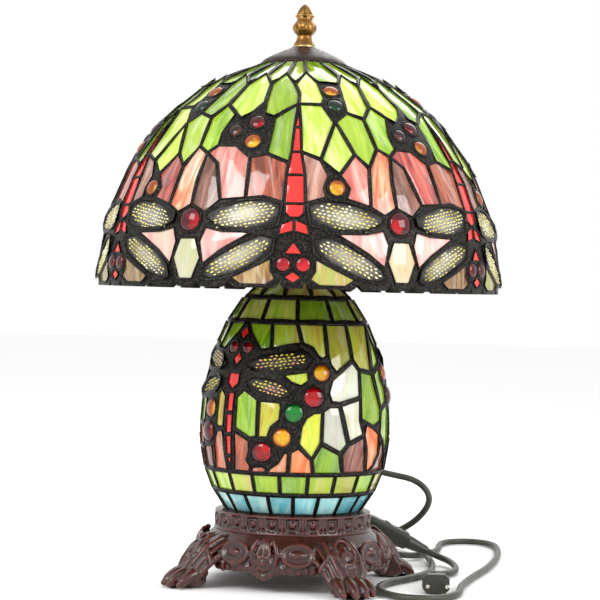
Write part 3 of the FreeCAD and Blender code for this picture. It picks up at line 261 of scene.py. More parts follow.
lamp_cord = cord_curve("lamp_side_cord", LAMP_SIDE_ROUTE)
plug_cord = cord_curve("plug_side_cord", PLUG_SIDE_ROUTE)
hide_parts("cord_lamp_side")
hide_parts("cord_plug_side")


# ------------------------------------------------------------------ materials

def streaky_glass(name, stops, streak=7.0, cloud=0.35, veil="#FFFFFF", rough=0.10, ripple=0.25):
    """Rolled opalescent glass: melts of several colours pulled into streaks, with milky clouds.

    The streaks run up each pane's own map, which is in metres; streak is their width in mm.
    """
    material, tree, shader = new_material(name, Roughness=rough, IOR=1.52, Coat_Weight=0.3,
                                          Coat_Roughness=0.04)
    tone = add(tree, "ShaderNodeAttribute", attribute_name="pane_tone")
    shade = add(tree, "ShaderNodeAttribute", attribute_name="pane_shade")
    grid = add(tree, "ShaderNodeUVMap", uv_map="pane")
    per_metre = 1000.0 / streak
    pull = add(tree, "ShaderNodeMapping", {"Vector": grid.outputs["UV"],
                                           "Scale": (per_metre, per_metre * 0.16, 1.0)})
    streaks = add(tree, "ShaderNodeTexNoise", {"Vector": pull.outputs["Vector"], "Scale": 1.0,
                                               "Detail": 3.0, "Roughness": 0.5,
                                               "Distortion": 0.8})
    spread = add(tree, "ShaderNodeMapRange", {"Value": streaks.outputs["Fac"], "From Min": 0.3,
                                              "From Max": 0.7, "To Min": -0.28, "To Max": 0.28})
    mix = add(tree, "ShaderNodeMath", {0: tone.outputs["Fac"], 1: spread.outputs["Result"]},
              operation="ADD")
    ramp = add(tree, "ShaderNodeValToRGB", {"Fac": mix.outputs["Value"]})
    set_stops(ramp, stops)
    clouds = add(tree, "ShaderNodeTexNoise", {"Vector": pull.outputs["Vector"], "Scale": 0.45,
                                              "Detail": 5.0, "Roughness": 0.6,
                                              "Distortion": 1.4})
    haze = add(tree, "ShaderNodeMapRange", {"Value": clouds.outputs["Fac"], "From Min": 0.52,
                                            "From Max": 0.78, "To Max": cloud})
    milky = add(tree, "ShaderNodeMix", {"Factor": haze.outputs["Result"],
                                        "A": ramp.outputs["Color"], "B": linear(veil)},
                data_type="RGBA")
    value = add(tree, "ShaderNodeMapRange", {"Value": shade.outputs["Fac"], "To Min": 0.78,
                                             "To Max": 1.18})
    final = add(tree, "ShaderNodeHueSaturation", {"Value": value.outputs["Result"],
                                                  "Color": milky.outputs["Result"]})
    tree.links.new(final.outputs["Color"], shader.inputs["Base Color"])
    waves = add(tree, "ShaderNodeTexNoise", {"Vector": grid.outputs["UV"], "Scale": 90.0,
                                             "Detail": 1.0})
    emboss(tree, shader, waves.outputs["Fac"], ripple, 0.0012)
    return material


def even(colours):
    """Colour stops spread evenly from 0 to 1."""
    return [(i / (len(colours) - 1), colour) for i, colour in enumerate(colours)]


def cabochon_glass(name, deep, bright):
    """Pressed cabochon glass drawn opaque: a painted glow of light through its middle and painted shade
    at its rim, where more glass is crossed.
    """
    material, tree, shader = new_material(name, Roughness=0.05, IOR=1.45, Coat_Weight=0.15,
                                          Coat_Roughness=0.02)
    facing = add(tree, "ShaderNodeLayerWeight", {"Blend": 0.45})
    place = add(tree, "ShaderNodeTexCoord")
    swirl = add(tree, "ShaderNodeTexNoise", {"Vector": place.outputs["Object"], "Scale": 90.0,
                                             "Detail": 2.0, "Distortion": 1.0})
    sway = add(tree, "ShaderNodeMath", {0: swirl.outputs["Fac"], 1: 0.5}, operation="MULTIPLY")
    total = add(tree, "ShaderNodeMath", {0: facing.outputs["Facing"], 1: sway.outputs["Value"]},
                operation="ADD")
    # The view paints a glow of light through the middle and shade at the rim.
    paint(tree, shader, total.outputs["Value"], [(0.15, bright), (0.5, deep), (1.0, deep)])
    return material


def red_art_glass():
    """Cathedral red glass seen unlit: flat strong red with a wet gloss."""
    material, tree, shader = new_material("cathedral_red_glass", Roughness=0.12, IOR=1.52,
                                          Coat_Weight=0.5, Coat_Roughness=0.03)
    grid = add(tree, "ShaderNodeUVMap", uv_map="pane")
    mottle = add(tree, "ShaderNodeTexNoise", {"Vector": grid.outputs["UV"], "Scale": 120.0,
                                              "Detail": 3.0})
    paint(tree, shader, mottle.outputs["Fac"], [(0.25, "#C4120F"), (0.75, "#E8261C")])
    return material


def wing_glass():
    """Grey opal glass behind the wing's pierced metal: silvery in the middle, black at the rim."""
    material, tree, shader = new_material("grey_wing_glass", Roughness=0.25, IOR=1.52,
                                          Coat_Weight=0.4)
    grid = add(tree, "ShaderNodeUVMap", uv_map="wing")
    centre = add(tree, "ShaderNodeVectorMath", {0: grid.outputs["UV"]}, operation="LENGTH")
    fine = add(tree, "ShaderNodeUVMap", uv_map="pane")
    grain = add(tree, "ShaderNodeTexNoise", {"Vector": fine.outputs["UV"], "Scale": 420.0,
                                             "Detail": 3.0, "Roughness": 0.7})
    ragged = add(tree, "ShaderNodeMath", {0: grain.outputs["Fac"], 1: 0.9}, operation="MULTIPLY")
    total = add(tree, "ShaderNodeMath", {0: centre.outputs["Value"], 1: ragged.outputs["Value"]},
                operation="ADD")
    paint(tree, shader, total.outputs["Value"],
          [(0.45, "#A5A29A"), (0.85, "#6E6B63"), (1.0, "#191816")])
    emboss(tree, shader, grain.outputs["Fac"], 0.4, 0.0006)
    return material


def patinated_solder():
    """Tin-lead solder blackened with patina: lumpy and satin, with painted glints where its grain runs
    pale.
    """
    material, tree, shader = new_material("patinated_solder", Metallic=0.75, Roughness=0.38)
    place = add(tree, "ShaderNodeTexCoord")
    grain = add(tree, "ShaderNodeTexNoise", {"Vector": place.outputs["Object"], "Scale": 480.0,
                                             "Detail": 4.0, "Roughness": 0.65})
    # The palest grey stop paints glints on the solder.
    paint(tree, shader, grain.outputs["Fac"], [(0.44, "#0C0B0A"), (0.64, "#37342F"), (0.82, "#7B7871")])
    rough = add(tree, "ShaderNodeMapRange", {"Value": grain.outputs["Fac"], "To Min": 0.28,
                                             "To Max": 0.6})
    tree.links.new(rough.outputs["Result"], shader.inputs["Roughness"])
    emboss(tree, shader, grain.outputs["Fac"], 0.6, 0.0005)
    return material


def lacquered_casting():
    """Cast zinc under red-brown lacquer, with painted shade that turns its hollows black and a painted
    highlight on its raised edges.
    """
    material, tree, shader = new_material("red_brown_lacquered_casting", Roughness=0.3,
                                          Coat_Weight=0.25, Coat_Roughness=0.1)
    geometry = add(tree, "ShaderNodeNewGeometry")
    place = add(tree, "ShaderNodeTexCoord")
    mottle = add(tree, "ShaderNodeTexNoise", {"Vector": place.outputs["Object"], "Scale": 140.0,
                                              "Detail": 4.0})
    tint = add(tree, "ShaderNodeMapRange", {"Value": mottle.outputs["Fac"], "To Min": -0.05,
                                            "To Max": 0.05})
    # Pointiness paints shade and highlight: near black in the hollows, pale red-brown on the raised
    # edges.
    total = add(tree, "ShaderNodeMath", {0: geometry.outputs["Pointiness"],
                                         1: tint.outputs["Result"]}, operation="ADD")
    paint(tree, shader, total.outputs["Value"],
          [(0.40, "#070201"), (0.49, "#2A0B06"), (0.54, "#4C170D"), (0.64, "#8E3F26")])
    emboss(tree, shader, mottle.outputs["Fac"], 0.15, 0.0008)
    return material


def aged_metal(name, low, middle, high, metallic=1.0, rough=0.3, scale=160.0):
    """Plated or bronzed metal: darker in its hollows, brighter on its edges, faintly mottled."""
    material, tree, shader = new_material(name, Metallic=metallic, Roughness=rough)
    geometry = add(tree, "ShaderNodeNewGeometry")
    place = add(tree, "ShaderNodeTexCoord")
    mottle = add(tree, "ShaderNodeTexNoise", {"Vector": place.outputs["Object"], "Scale": scale,
                                              "Detail": 4.0})
    tint = add(tree, "ShaderNodeMapRange", {"Value": mottle.outputs["Fac"], "To Min": -0.08,
                                            "To Max": 0.08})
    total = add(tree, "ShaderNodeMath", {0: geometry.outputs["Pointiness"],
                                         1: tint.outputs["Result"]}, operation="ADD")
    paint(tree, shader, total.outputs["Value"], [(0.42, low), (0.5, middle), (0.6, high)])
    wear = add(tree, "ShaderNodeMapRange", {"Value": mottle.outputs["Fac"],
                                            "To Min": rough * 0.7, "To Max": rough * 1.5})
    tree.links.new(wear.outputs["Result"], shader.inputs["Roughness"])
    return material


def moulded_plastic(name, colour, rough=0.3):
    """Injection-moulded plastic with a fine spark-eroded grain."""
    material, tree, shader = new_material(name, Roughness=rough)
    place = add(tree, "ShaderNodeTexCoord")
    grain = add(tree, "ShaderNodeTexNoise", {"Vector": place.outputs["Object"], "Scale": 900.0,
                                             "Detail": 2.0})
    paint(tree, shader, grain.outputs["Fac"], [(0.3, colour[0]), (0.7, colour[1])])
    emboss(tree, shader, grain.outputs["Fac"], 0.15, 0.0002)
    return material


SOLDER = patinated_solder()
CASTING = lacquered_casting()
BRASS = aged_metal("antique_gold_brass", "#26160A", "#8C6534", "#D6AE70", rough=0.3)
PLAIN_BRASS = aged_metal("drawn_brass", "#5A4420", "#B08D4C", "#D8BC80", rough=0.3)
BRONZE = aged_metal("dark_bronzed_steel", "#0B0605", "#1D110D", "#4A3024", 0.4, 0.42)
ZINC = aged_metal("zinc_plated_steel", "#55565A", "#9A9BA0", "#C9CACD", rough=0.35)
NICKEL = aged_metal("nickel_plated_brass", "#7A7770", "#B9B6AE", "#E2DFD8", rough=0.18)
BLACK_PLASTIC = moulded_plastic("black_phenolic", ("#0D0D0C", "#1C1B1A"))
SWITCH_PLASTIC = moulded_plastic("dark_olive_abs", ("#23231E", "#37362F"), 0.35)
FELT = moulded_plastic("black_felt", ("#0E0E0E", "#262524"), 0.95)
BULB_GLASS = moulded_plastic("frosted_bulb_glass", ("#E4E2DA", "#F6F4EE"), 0.35)

# ------------------------------------------------------------------ glazing

PANE_GROUPS = {
    "shade_leaf_panes": streaky_glass("green_opal_glass", even(
        ["#4F7F10", "#86AE1E", "#A3C62E", "#B6D146", "#CFE07E"]), 8.0, 0.4),
    "shade_mauve_panes": streaky_glass("mauve_opal_glass", even(
        ["#6A4234", "#8F6052", "#B58676", "#A98F6C", "#D9BCAE"]), 7.0),
    "shade_rose_panes": streaky_glass("rose_opal_glass", even(
        ["#7F2B24", "#B9564B", "#CF7A6D", "#DB9C90", "#C9A38C"]), 9.0),
    "shade_rust_panes": streaky_glass("rust_opal_glass", even(
        ["#6E3524", "#A85238", "#C4704F", "#BE9A74", "#E6D8C6"]), 6.0),
    "shade_cream_panes": streaky_glass("cream_opal_glass", even(
        ["#D0904E", "#D8AC76", "#D8C09C", "#C4C898", "#D6CFBE"]), 6.0),
    "shade_wedge_panes": streaky_glass("pink_opal_glass", even(
        ["#B0605A", "#CE8A83", "#DFAEA5", "#C9C3A2"]), 10.0),
    "shade_streaky_panes": streaky_glass("brown_streaky_glass", even(
        ["#5A3420", "#8C683A", "#A9924E", "#95A04A", "#8A4A34"]), 4.5),
    "egg_green_panes": streaky_glass("lime_opal_glass", even(
        ["#5A8A10", "#84AC1C", "#9DB82A", "#A8A83C", "#9A7A34"]), 7.0, 0.2),
    "egg_yellow_panes": streaky_glass("yellow_green_glass", even(
        ["#7FA81E", "#A9BC2A", "#C9C43A", "#B98B34"]), 6.0, 0.25),
    "egg_cream_panes": streaky_glass("white_opal_glass", even(
        ["#9FB26A", "#C0CB9C", "#CDD0C0", "#C8BEAE", "#A4B876"]), 8.0, 0.3, "#D4D8CA"),
    "egg_earth_panes": streaky_glass("amber_brown_glass", even(
        ["#4E201A", "#803E2E", "#AC7C62", "#C85C30", "#8E4A38"]), 6.0, 0.2),
    "egg_orange_panes": streaky_glass("orange_opal_glass", even(
        ["#B23C18", "#E4622A", "#EC8A50", "#D8A88C"]), 6.0, 0.12),
    "egg_blue_band": streaky_glass("aqua_opal_glass", even(
        ["#3E9FB4", "#6DBBC6", "#9BD2D2", "#C7E4DE"]), 9.0),
    "egg_green_band": streaky_glass("spring_green_glass", even(
        ["#7DA81C", "#9CBE28", "#B4C648", "#C2B46C"]), 8.0, 0.2),
    "egg_olive_bands": streaky_glass("olive_opal_glass", even(
        ["#4E7A14", "#7FA024", "#A3AE4A", "#B08A5E"]), 8.0, 0.25),
    "shade_dragonfly_panes": red_art_glass(),
    "egg_dragonfly_panes": None,
    "shade_wing_panes": wing_glass(),
    "egg_wing_panes": None,
}
PANE_GROUPS["egg_dragonfly_panes"] = PANE_GROUPS["shade_dragonfly_panes"]
PANE_GROUPS["egg_wing_panes"] = PANE_GROUPS["shade_wing_panes"]
JEWEL_GROUPS = {
    "shade_jewels_red": cabochon_glass("ruby_cabochon_glass", "#3C0005", "#B8000F"),
    "shade_jewels_amber": cabochon_glass("amber_cabochon_glass", "#8A3E00", "#EDB818"),
    "shade_jewels_brown": cabochon_glass("brown_cabochon_glass", "#200A04", "#743A1C"),
    "shade_jewels_green": cabochon_glass("bottle_green_cabochon", "#00140A", "#064A22"),
    "egg_jewels_green": cabochon_glass("emerald_cabochon_glass", "#002C0C", "#078226"),
}
JEWEL_GROUPS["shade_eyes"] = JEWEL_GROUPS["shade_jewels_red"]
JEWEL_GROUPS["egg_jewels_red"] = JEWEL_GROUPS["shade_jewels_red"]
JEWEL_GROUPS["egg_jewels_amber"] = JEWEL_GROUPS["shade_jewels_amber"]
BODY_OF = {node: obj["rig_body"] for node, obj in NODES.items()}
MERGE = 2e-6
NO_AREA = 1e-9
GROUND_EDGE = 0.45 * MM
THIN_BEAD = (1.6 * MM, 1.7 * MM, 0.22 * MM)
WING_BEAD = (2.9 * MM, 2.3 * MM, 0.6 * MM)
WING_BEAD_SEED = Vector((9, 3, 1))
JEWEL_BEAD = 1.35 * MM
JEWEL_SIDES = 28
WEB_SINK = 0.9 * MM
OPENING_ROW = 3.3 * MM
OPENING_RADIUS = 1.0 * MM


def stand_for(piece, node):
    """A piece moves as a CAD node's body does and is shown instead of it."""
    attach(piece, BODY_OF[node])
    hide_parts(node)


def go_with(piece, node):
    """A piece moves as a CAD node's body does, beside it."""
    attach(piece, BODY_OF[node])


def merged_copy(node):
    """A CAD node's mesh with its doubles merged and its flat faces made whole."""
    bm = bmesh.new()
    bm.from_mesh(NODES[node].data)
    bmesh.ops.remove_doubles(bm, verts=bm.verts, dist=MERGE)
    bmesh.ops.dissolve_limit(bm, angle_limit=math.radians(4), verts=bm.verts, edges=bm.edges)
    return bm


def islands(bm):
    """The separate solids of a mesh, each as a list of its faces."""
    left = dict.fromkeys(bm.faces)
    found = []
    while left:
        queue = [next(iter(left))]
        del left[queue[0]]
        island = []
        while queue:
            face = queue.pop()
            island.append(face)
            for edge in face.edges:
                for other in edge.link_faces:
                    if other in left:
                        del left[other]
                        queue.append(other)
        found.append(island)
    return found


def outward(face):
    """How squarely a face looks away from the lamp's axis, from -1 to 1."""
    centre = face.calc_center_median()
    return face.normal.dot(Vector((centre.x, centre.y, 0)).normalized())


def outer_face(island):
    """The pane's large face that looks away from the lamp's axis."""
    return max(island, key=lambda f: f.calc_area() * (1.0 if outward(f) > 0 else 0.001))


def face_axes(face):
    """Axes (along, up, out) of a face: along is level and up climbs the glass."""
    out = face.normal.normalized()
    along = AXIS_Z.cross(out).normalized()
    return along, out.cross(along), out


def longest_axis(face, along, up):
    """The direction, half length and half width of a long face in its own plane."""
    centre = sum((v.co for v in face.verts), Vector()) / len(face.verts)
    spots = [((v.co - centre).dot(along), (v.co - centre).dot(up)) for v in face.verts]
    pairs = [(a, b) for a in spots for b in spots]
    a, b = max(pairs, key=lambda p: (p[0][0] - p[1][0]) ** 2 + (p[0][1] - p[1][1]) ** 2)
    angle = math.atan2(b[1] - a[1], b[0] - a[0])
    turned = [(x * math.cos(angle) + y * math.sin(angle), -x * math.sin(angle)
               + y * math.cos(angle)) for x, y in spots]
    low, high = min(p[0] for p in turned), max(p[0] for p in turned)
    under, over = min(p[1] for p in turned), max(p[1] for p in turned)
    middle = ((low + high) / 2, (under + over) / 2)
    shift = Vector((middle[0] * math.cos(angle) - middle[1] * math.sin(angle),
                    middle[0] * math.sin(angle) + middle[1] * math.cos(angle)))
    return centre + along * shift.x + up * shift.y, angle, (high - low) / 2, (over - under) / 2


def make_panes(node, material, tilt=14.0):
    """Give every pane of a CAD node its own tone, streak direction and softened edge."""
    bm = merged_copy(node)
    tone = bm.verts.layers.float.new("pane_tone")
    shade = bm.verts.layers.float.new("pane_shade")
    pane_map = bm.loops.layers.uv.new("pane")
    wing_map = bm.loops.layers.uv.new("wing")
    rims = []
    for island in islands(bm):
        face = outer_face(island)
        along, up, out = face_axes(face)
        if face.calc_area() < NO_AREA:
            continue
        centre, angle, half_long, half_wide = longest_axis(face, along, up)
        turn = math.radians(random.uniform(-tilt, tilt))
        shift = Vector((random.uniform(-3, 3), random.uniform(-3, 3)))
        pane_tone, pane_shade = random.uniform(0.12, 0.88), random.random()
        for part in island:
            for loop in part.loops:
                offset = loop.vert.co - centre
                x, y = offset.dot(along), offset.dot(up)
                loop[pane_map].uv = (x * math.cos(turn) - y * math.sin(turn) + shift.x,
                                     x * math.sin(turn) + y * math.cos(turn) + shift.y)
                loop[wing_map].uv = ((x * math.cos(angle) + y * math.sin(angle)) / half_long,
                                     (y * math.cos(angle) - x * math.sin(angle)) / half_wide)
                loop.vert[tone] = pane_tone
                loop.vert[shade] = pane_shade
        rims.extend(face.edges)
    bmesh.ops.bevel(bm, geom=list(dict.fromkeys(rims)), offset=GROUND_EDGE, offset_type="OFFSET",
                    segments=2, profile=0.5, affect="EDGES", clamp_overlap=True, material=-1)
    stand_for(piece_from(bm, node + "_glass", material, smooth=30), node)


def solder_rim(bm, width, height, lumps, seed):
    """A rounded bead of solder round each outline face of a bmesh, which keeps only beads."""
    centre_faces = [f for f in bm.faces]
    for share_out, share_up in ((0.14, 0.55), (0.36, 0.33), (0.50, 0.12)):
        bmesh.ops.inset_individual(bm, faces=centre_faces, thickness=-width * share_out,
                                   depth=height * share_up, use_even_offset=True)
    bmesh.ops.delete(bm, geom=centre_faces, context="FACES_ONLY")
    for vert in bm.verts:
        wobble = noise.noise(vert.co * 260.0 + seed) * 0.6 + noise.noise(vert.co * 520.0) * 0.4
        vert.co += Vector((vert.co.x, vert.co.y, 0)).normalized() * wobble * lumps
    return bm


def outlines_of(nodes):
    """The outer faces of the panes of some nodes, as one bmesh of separate polygons."""
    collected = bmesh.new()
    for node in nodes:
        bm = merged_copy(node)
        for island in islands(bm):
            face = outer_face(island)
            if face.calc_area() < NO_AREA:
                continue
            sink = face.normal * 0.35 * MM
            corners = [loop.vert.co - sink for loop in face.loops]
            ring = []
            for start, end in zip(corners, corners[1:] + corners[:1]):
                count = max(1, round((end - start).length / (3.5 * MM)))
                ring.extend(start.lerp(end, i / count) for i in range(count))
            collected.faces.new([collected.verts.new(spot) for spot in ring])
        bm.free()
    collected.normal_update()
    return collected


def join_into(target, bm):
    """Append one bmesh to another."""
    mesh = bpy.data.meshes.new("joined")
    bm.to_mesh(mesh)
    bm.free()
    target.from_mesh(mesh)
    bpy.data.meshes.remove(mesh)


def make_solder(name, thin_nodes, wing_nodes, jewel_nodes, lattice):
    """The solder beads over a glass body's joints, on its leading pulled back under them."""
    beads = solder_rim(outlines_of(thin_nodes), *THIN_BEAD, Vector())
    join_into(beads, solder_rim(outlines_of(wing_nodes), *WING_BEAD, WING_BEAD_SEED))
    rings = bmesh.new()
    for node in jewel_nodes:
        for centre, out, radius in jewel_spots(node):
            matrix = Matrix.Translation(centre + out * 1.3 * MM) @ out.to_track_quat(
                "Z", "Y").to_matrix().to_4x4()
            hoop(rings, matrix, radius + 0.9 * MM, JEWEL_BEAD, JEWEL_SIDES)
    for vert in rings.verts:
        wobble = noise.noise(vert.co * 400.0)
        vert.co += Vector((vert.co.x, vert.co.y, 0)).normalized() * wobble * 0.4 * MM
    join_into(beads, rings)
    go_with(piece_from(beads, name, SOLDER, smooth=75), lattice)
    web = bmesh.new()
    web.from_mesh(NODES[lattice].data)
    bmesh.ops.remove_doubles(web, verts=web.verts, dist=MERGE)
    web.normal_update()
    for vert in web.verts:
        faces_out = max(f.normal.dot(Vector((vert.co.x, vert.co.y, 0)).normalized())
                        for f in vert.link_faces)
        high = max(f.normal.z for f in vert.link_faces)
        if max(faces_out, high) > 0.75:
            vert.co -= Vector((vert.co.x, vert.co.y, (vert.co.z - 0.29) * 0.9)).normalized() \
                * WEB_SINK
    stand_for(piece_from(web, name + "_web", SOLDER, smooth=35), lattice)


def jewel_spots(node):
    """Centre, outward direction and radius of each round jewel of a CAD node."""
    bm = merged_copy(node)
    spots = []
    for island in islands(bm):
        back = max(island, key=lambda f: f.calc_area())
        centre = back.calc_center_median()
        out = -back.normal.normalized()
        radius = max((v.co - centre).length for v in back.verts)
        spots.append((centre + out * 1.5 * MM, out, radius))
    bm.free()
    return spots


def make_jewels(node, material):
    """Smooth domed cabochons in place of a CAD node's stepped ones."""
    bm = bmesh.new()
    for centre, out, radius in jewel_spots(node):
        dome = [(radius, -1.4 * MM), (radius, 0.9 * MM)]
        for i in range(1, 9):
            turn = math.pi / 2 * i / 8
            dome.append((radius * math.cos(turn), 0.9 * MM + radius * 0.46 * math.sin(turn)))
        dome[-1] = (0.0, dome[-1][1])
        matrix = Matrix.Translation(centre) @ out.to_track_quat("Z", "Y").to_matrix().to_4x4()
        spin_profile(bm, [(0.0, -1.4 * MM)] + dome, JEWEL_SIDES, matrix)
    stand_for(piece_from(bm, node + "_cabochons", material, smooth=50), node)


def make_filigree(node, dots_material):
    """A wing's pierced metal, seen as rows of small oval openings with glass behind them."""
    bm = merged_copy(node)
    net = bmesh.new()
    for island in islands(bm):
        face = outer_face(island)
        along, up, out = face_axes(face)
        centre, angle, half_long, half_wide = longest_axis(face, along, up)
        long_way = along * math.cos(angle) + up * math.sin(angle)
        wide_way = out.cross(long_way)
        one = bmesh.new()
        row = -half_wide
        flip = 0
        while row < half_wide:
            flip += 1
            spot = -half_long + (flip % 2) * 2.2 * MM
            while spot < half_long:
                spot += random.uniform(3.9, 5.2) * MM
                side = row + random.uniform(-0.5, 0.5) * MM
                reach = (spot / (half_long - 4.5 * MM)) ** 2 + (side / (half_wide - 2.8 * MM)) ** 2
                if reach > 1.0:
                    continue
                lean = 0.25 * spot / half_long * (side / half_wide) + random.uniform(-0.35, 0.35)
                size = random.uniform(0.8, 1.15)
                axis = long_way * math.cos(lean) + wide_way * math.sin(lean)
                turn = Matrix((axis, out.cross(axis), out)).transposed().to_4x4()
                place = Matrix.Translation(centre + long_way * spot + wide_way * side
                                           + out * 0.25 * MM)
                bmesh.ops.create_cone(one, cap_ends=True, segments=7,
                                      radius1=OPENING_RADIUS * size,
                                      radius2=0.72 * OPENING_RADIUS * size, depth=0.7 * MM,
                                      matrix=place @ turn @ scaled(1.75, 0.8, 1.0))
            row += OPENING_ROW
        join_into(net, one)
    bm.free()
    go_with(piece_from(net, node + "_openings", dots_material, smooth=40), node)


def filigree_metal(name, colours):
    """The wing's pierced brass sheet, patinated: silver-grey in the middle, black at the rim."""
    material, tree, shader = new_material(name, Metallic=0.5, Roughness=0.4)
    grid = add(tree, "ShaderNodeUVMap", uv_map="wing")
    fine = add(tree, "ShaderNodeUVMap", uv_map="pane")
    centre = add(tree, "ShaderNodeVectorMath", {0: grid.outputs["UV"]}, operation="LENGTH")
    grain = add(tree, "ShaderNodeTexNoise", {"Vector": fine.outputs["UV"], "Scale": 300.0,
                                             "Detail": 3.0, "Roughness": 0.7})
    patch = add(tree, "ShaderNodeTexNoise", {"Vector": fine.outputs["UV"], "Scale": 45.0,
                                             "Detail": 2.0})
    both = add(tree, "ShaderNodeMath", {0: grain.outputs["Fac"], 1: patch.outputs["Fac"]},
               operation="ADD")
    half = add(tree, "ShaderNodeMath", {0: both.outputs["Value"], 1: 0.5, 2: -0.5},
               operation="MULTIPLY_ADD")
    total = add(tree, "ShaderNodeMath", {0: centre.outputs["Value"], 1: half.outputs["Value"]},
                operation="ADD")
    paint(tree, shader, total.outputs["Value"], list(zip((0.25, 0.6, 0.95), colours)))
    emboss(tree, shader, grain.outputs["Fac"], 0.5, 0.0005)
    return material


def opening_glass(name, colours):
    """Pale glass seen through the filigree's small openings."""
    material, tree, shader = new_material(name, Roughness=0.2, Coat_Weight=0.5)
    place = add(tree, "ShaderNodeTexCoord")
    vary = add(tree, "ShaderNodeTexNoise", {"Vector": place.outputs["Object"], "Scale": 60.0,
                                            "Detail": 2.0})
    paint(tree, shader, vary.outputs["Fac"], list(zip((0.35, 0.5, 0.65), colours)))
    return material


WINGS = {
    "shade_wing_filigree": (filigree_metal("silvery_filigree", ("#9C9990", "#6A675F", "#1B1A18")),
                            opening_glass("cream_wing_glass", ("#C9B23A", "#E9DE78", "#F4F0CC"))),
    "egg_wing_filigree": (filigree_metal("blackened_filigree", ("#4A463C", "#25231F", "#0C0B0A")),
                          opening_glass("yellow_wing_glass", ("#C8B414", "#E6DA34", "#EFA07C"))),
}


def glaze():
    """All the glass, its solder and its jewels."""
    for node, material in PANE_GROUPS.items():
        if node not in NODES:
            continue
        make_panes(node, material)
    for node, material in JEWEL_GROUPS.items():
        make_jewels(node, material)
    for node, (metal, opening) in WINGS.items():
        make_panes(node, metal)
        make_filigree(node, opening)
    for body in ("shade", "egg"):
        panes = [n for n in PANE_GROUPS if n.startswith(body) and "wing" not in n and n in NODES]
        jewels = [n for n in JEWEL_GROUPS if n.startswith(body)]
        make_solder(body + "_solder", panes, [body + "_wing_panes"], jewels, body + "_leading")


glaze()


# ------------------------------------------------------------------ cast base

FOOT_ANGLES = [29, 119, 209, 299]
HALF_BETWEEN_FEET = 45
FLOOR_OF_CAST = 1.0 * MM
SMOOTHINGS = 6
STRAND_STEP = 1.7 * MM
COLLAR_CELLS = 24


def curved_strand(bm, points, start, end):
    """A tapering strand of overlapping lumps along a smooth line of (x, y, z) places."""
    path = [Vector(p) * MM for p in points]
    stations = []
    for before, after in zip(path, path[1:]):
        count = max(2, round((after - before).length / STRAND_STEP))
        stations.extend(before.lerp(after, i / count) for i in range(count))
    stations.append(path[-1])
    for _ in range(SMOOTHINGS):
        stations = [stations[0]] + [
            (a + b * 2 + c) / 4 for a, b, c in zip(stations, stations[1:], stations[2:])
        ] + [stations[-1]]
    for i, spot in enumerate(stations):
        size = (start + (end - start) * i / (len(stations) - 1)) * MM
        lump(bm, Matrix.Translation(spot) @ scaled(size, size, size))


def oval_ring(bm, matrix, long, wide, thick):
    """An oval moulded frame lying in a matrix's XY plane."""
    for i in range(40):
        turn = math.tau * i / 40
        spot = matrix @ Vector((long * math.cos(turn) * MM, wide * math.sin(turn) * MM, 0))
        lump(bm, Matrix.Translation(spot) @ scaled(thick * MM, thick * MM, thick * MM), 1)


def leg_relief(bm):
    """One leg on +X: a broad foliate scroll with long strands, an oval frame and a paw."""
    body = [(66, 44), (82, 42), (97, 36), (108, 27), (115, 17), (118, 10)]
    for (near, high), (far, low) in zip(body, body[1:]):
        for i in range(8):
            out, level = near + (far - near) * i / 8, high + (low - high) * i / 8
            wide = 25.0 - 6.5 * (out - 66) / 52
            boss(bm, (out, 0, level), (8.0, wide, 7.5))
    for side in (-1, 1):
        curved_strand(bm, [(68, side * 25, 42), (84, side * 26, 38), (98, side * 25, 30),
                           (108, side * 21, 20), (116, side * 19, 9)], 4.2, 2.8)
        curved_strand(bm, [(70, side * 19, 47), (86, side * 20, 44), (101, side * 19, 35),
                           (112, side * 17, 24), (120, side * 16, 12)], 3.4, 2.6)
        curved_strand(bm, [(70, side * 12, 50), (88, side * 14, 48), (104, side * 15, 40),
                           (117, side * 13, 25), (122, side * 11, 13)], 3.0, 2.4)
        curved_strand(bm, [(70, side * 4, 50), (84, side * 6, 48), (95, side * 11, 43),
                           (104, side * 19, 35), (104, side * 26, 25)], 3.0, 2.4)
        curved_strand(bm, [(106, side * 4, 40), (114, side * 6, 30), (121, side * 4, 18),
                           (124, side * 5, 12)], 2.6, 2.2)
    tilt = Matrix.Translation(Vector((105, 0, 41)) * MM) @ Matrix.Rotation(math.radians(46), 4, "Y")
    oval_ring(bm, tilt, 14.5, 9.5, 2.4)
    boss(bm, (0, 0, -1.0), (10.5, 6.0, 3.4), tilt)
    boss(bm, (114, 0, 8), (15, 21, 9.5), detail=3)
    for offset, reach in ((-15.5, 123), (-5.2, 129), (5.2, 129), (15.5, 123)):
        curved_strand(bm, [(reach - 16, offset * 0.85, 15), (reach - 6, offset, 14.5),
                           (reach + 2, offset * 1.03, 11), (reach + 7, offset * 1.05, 6.5)],
                      6.2, 5.2)
        boss(bm, (reach + 9.5, offset * 1.05, 4.2), (4.8, 3.6, 3.4))


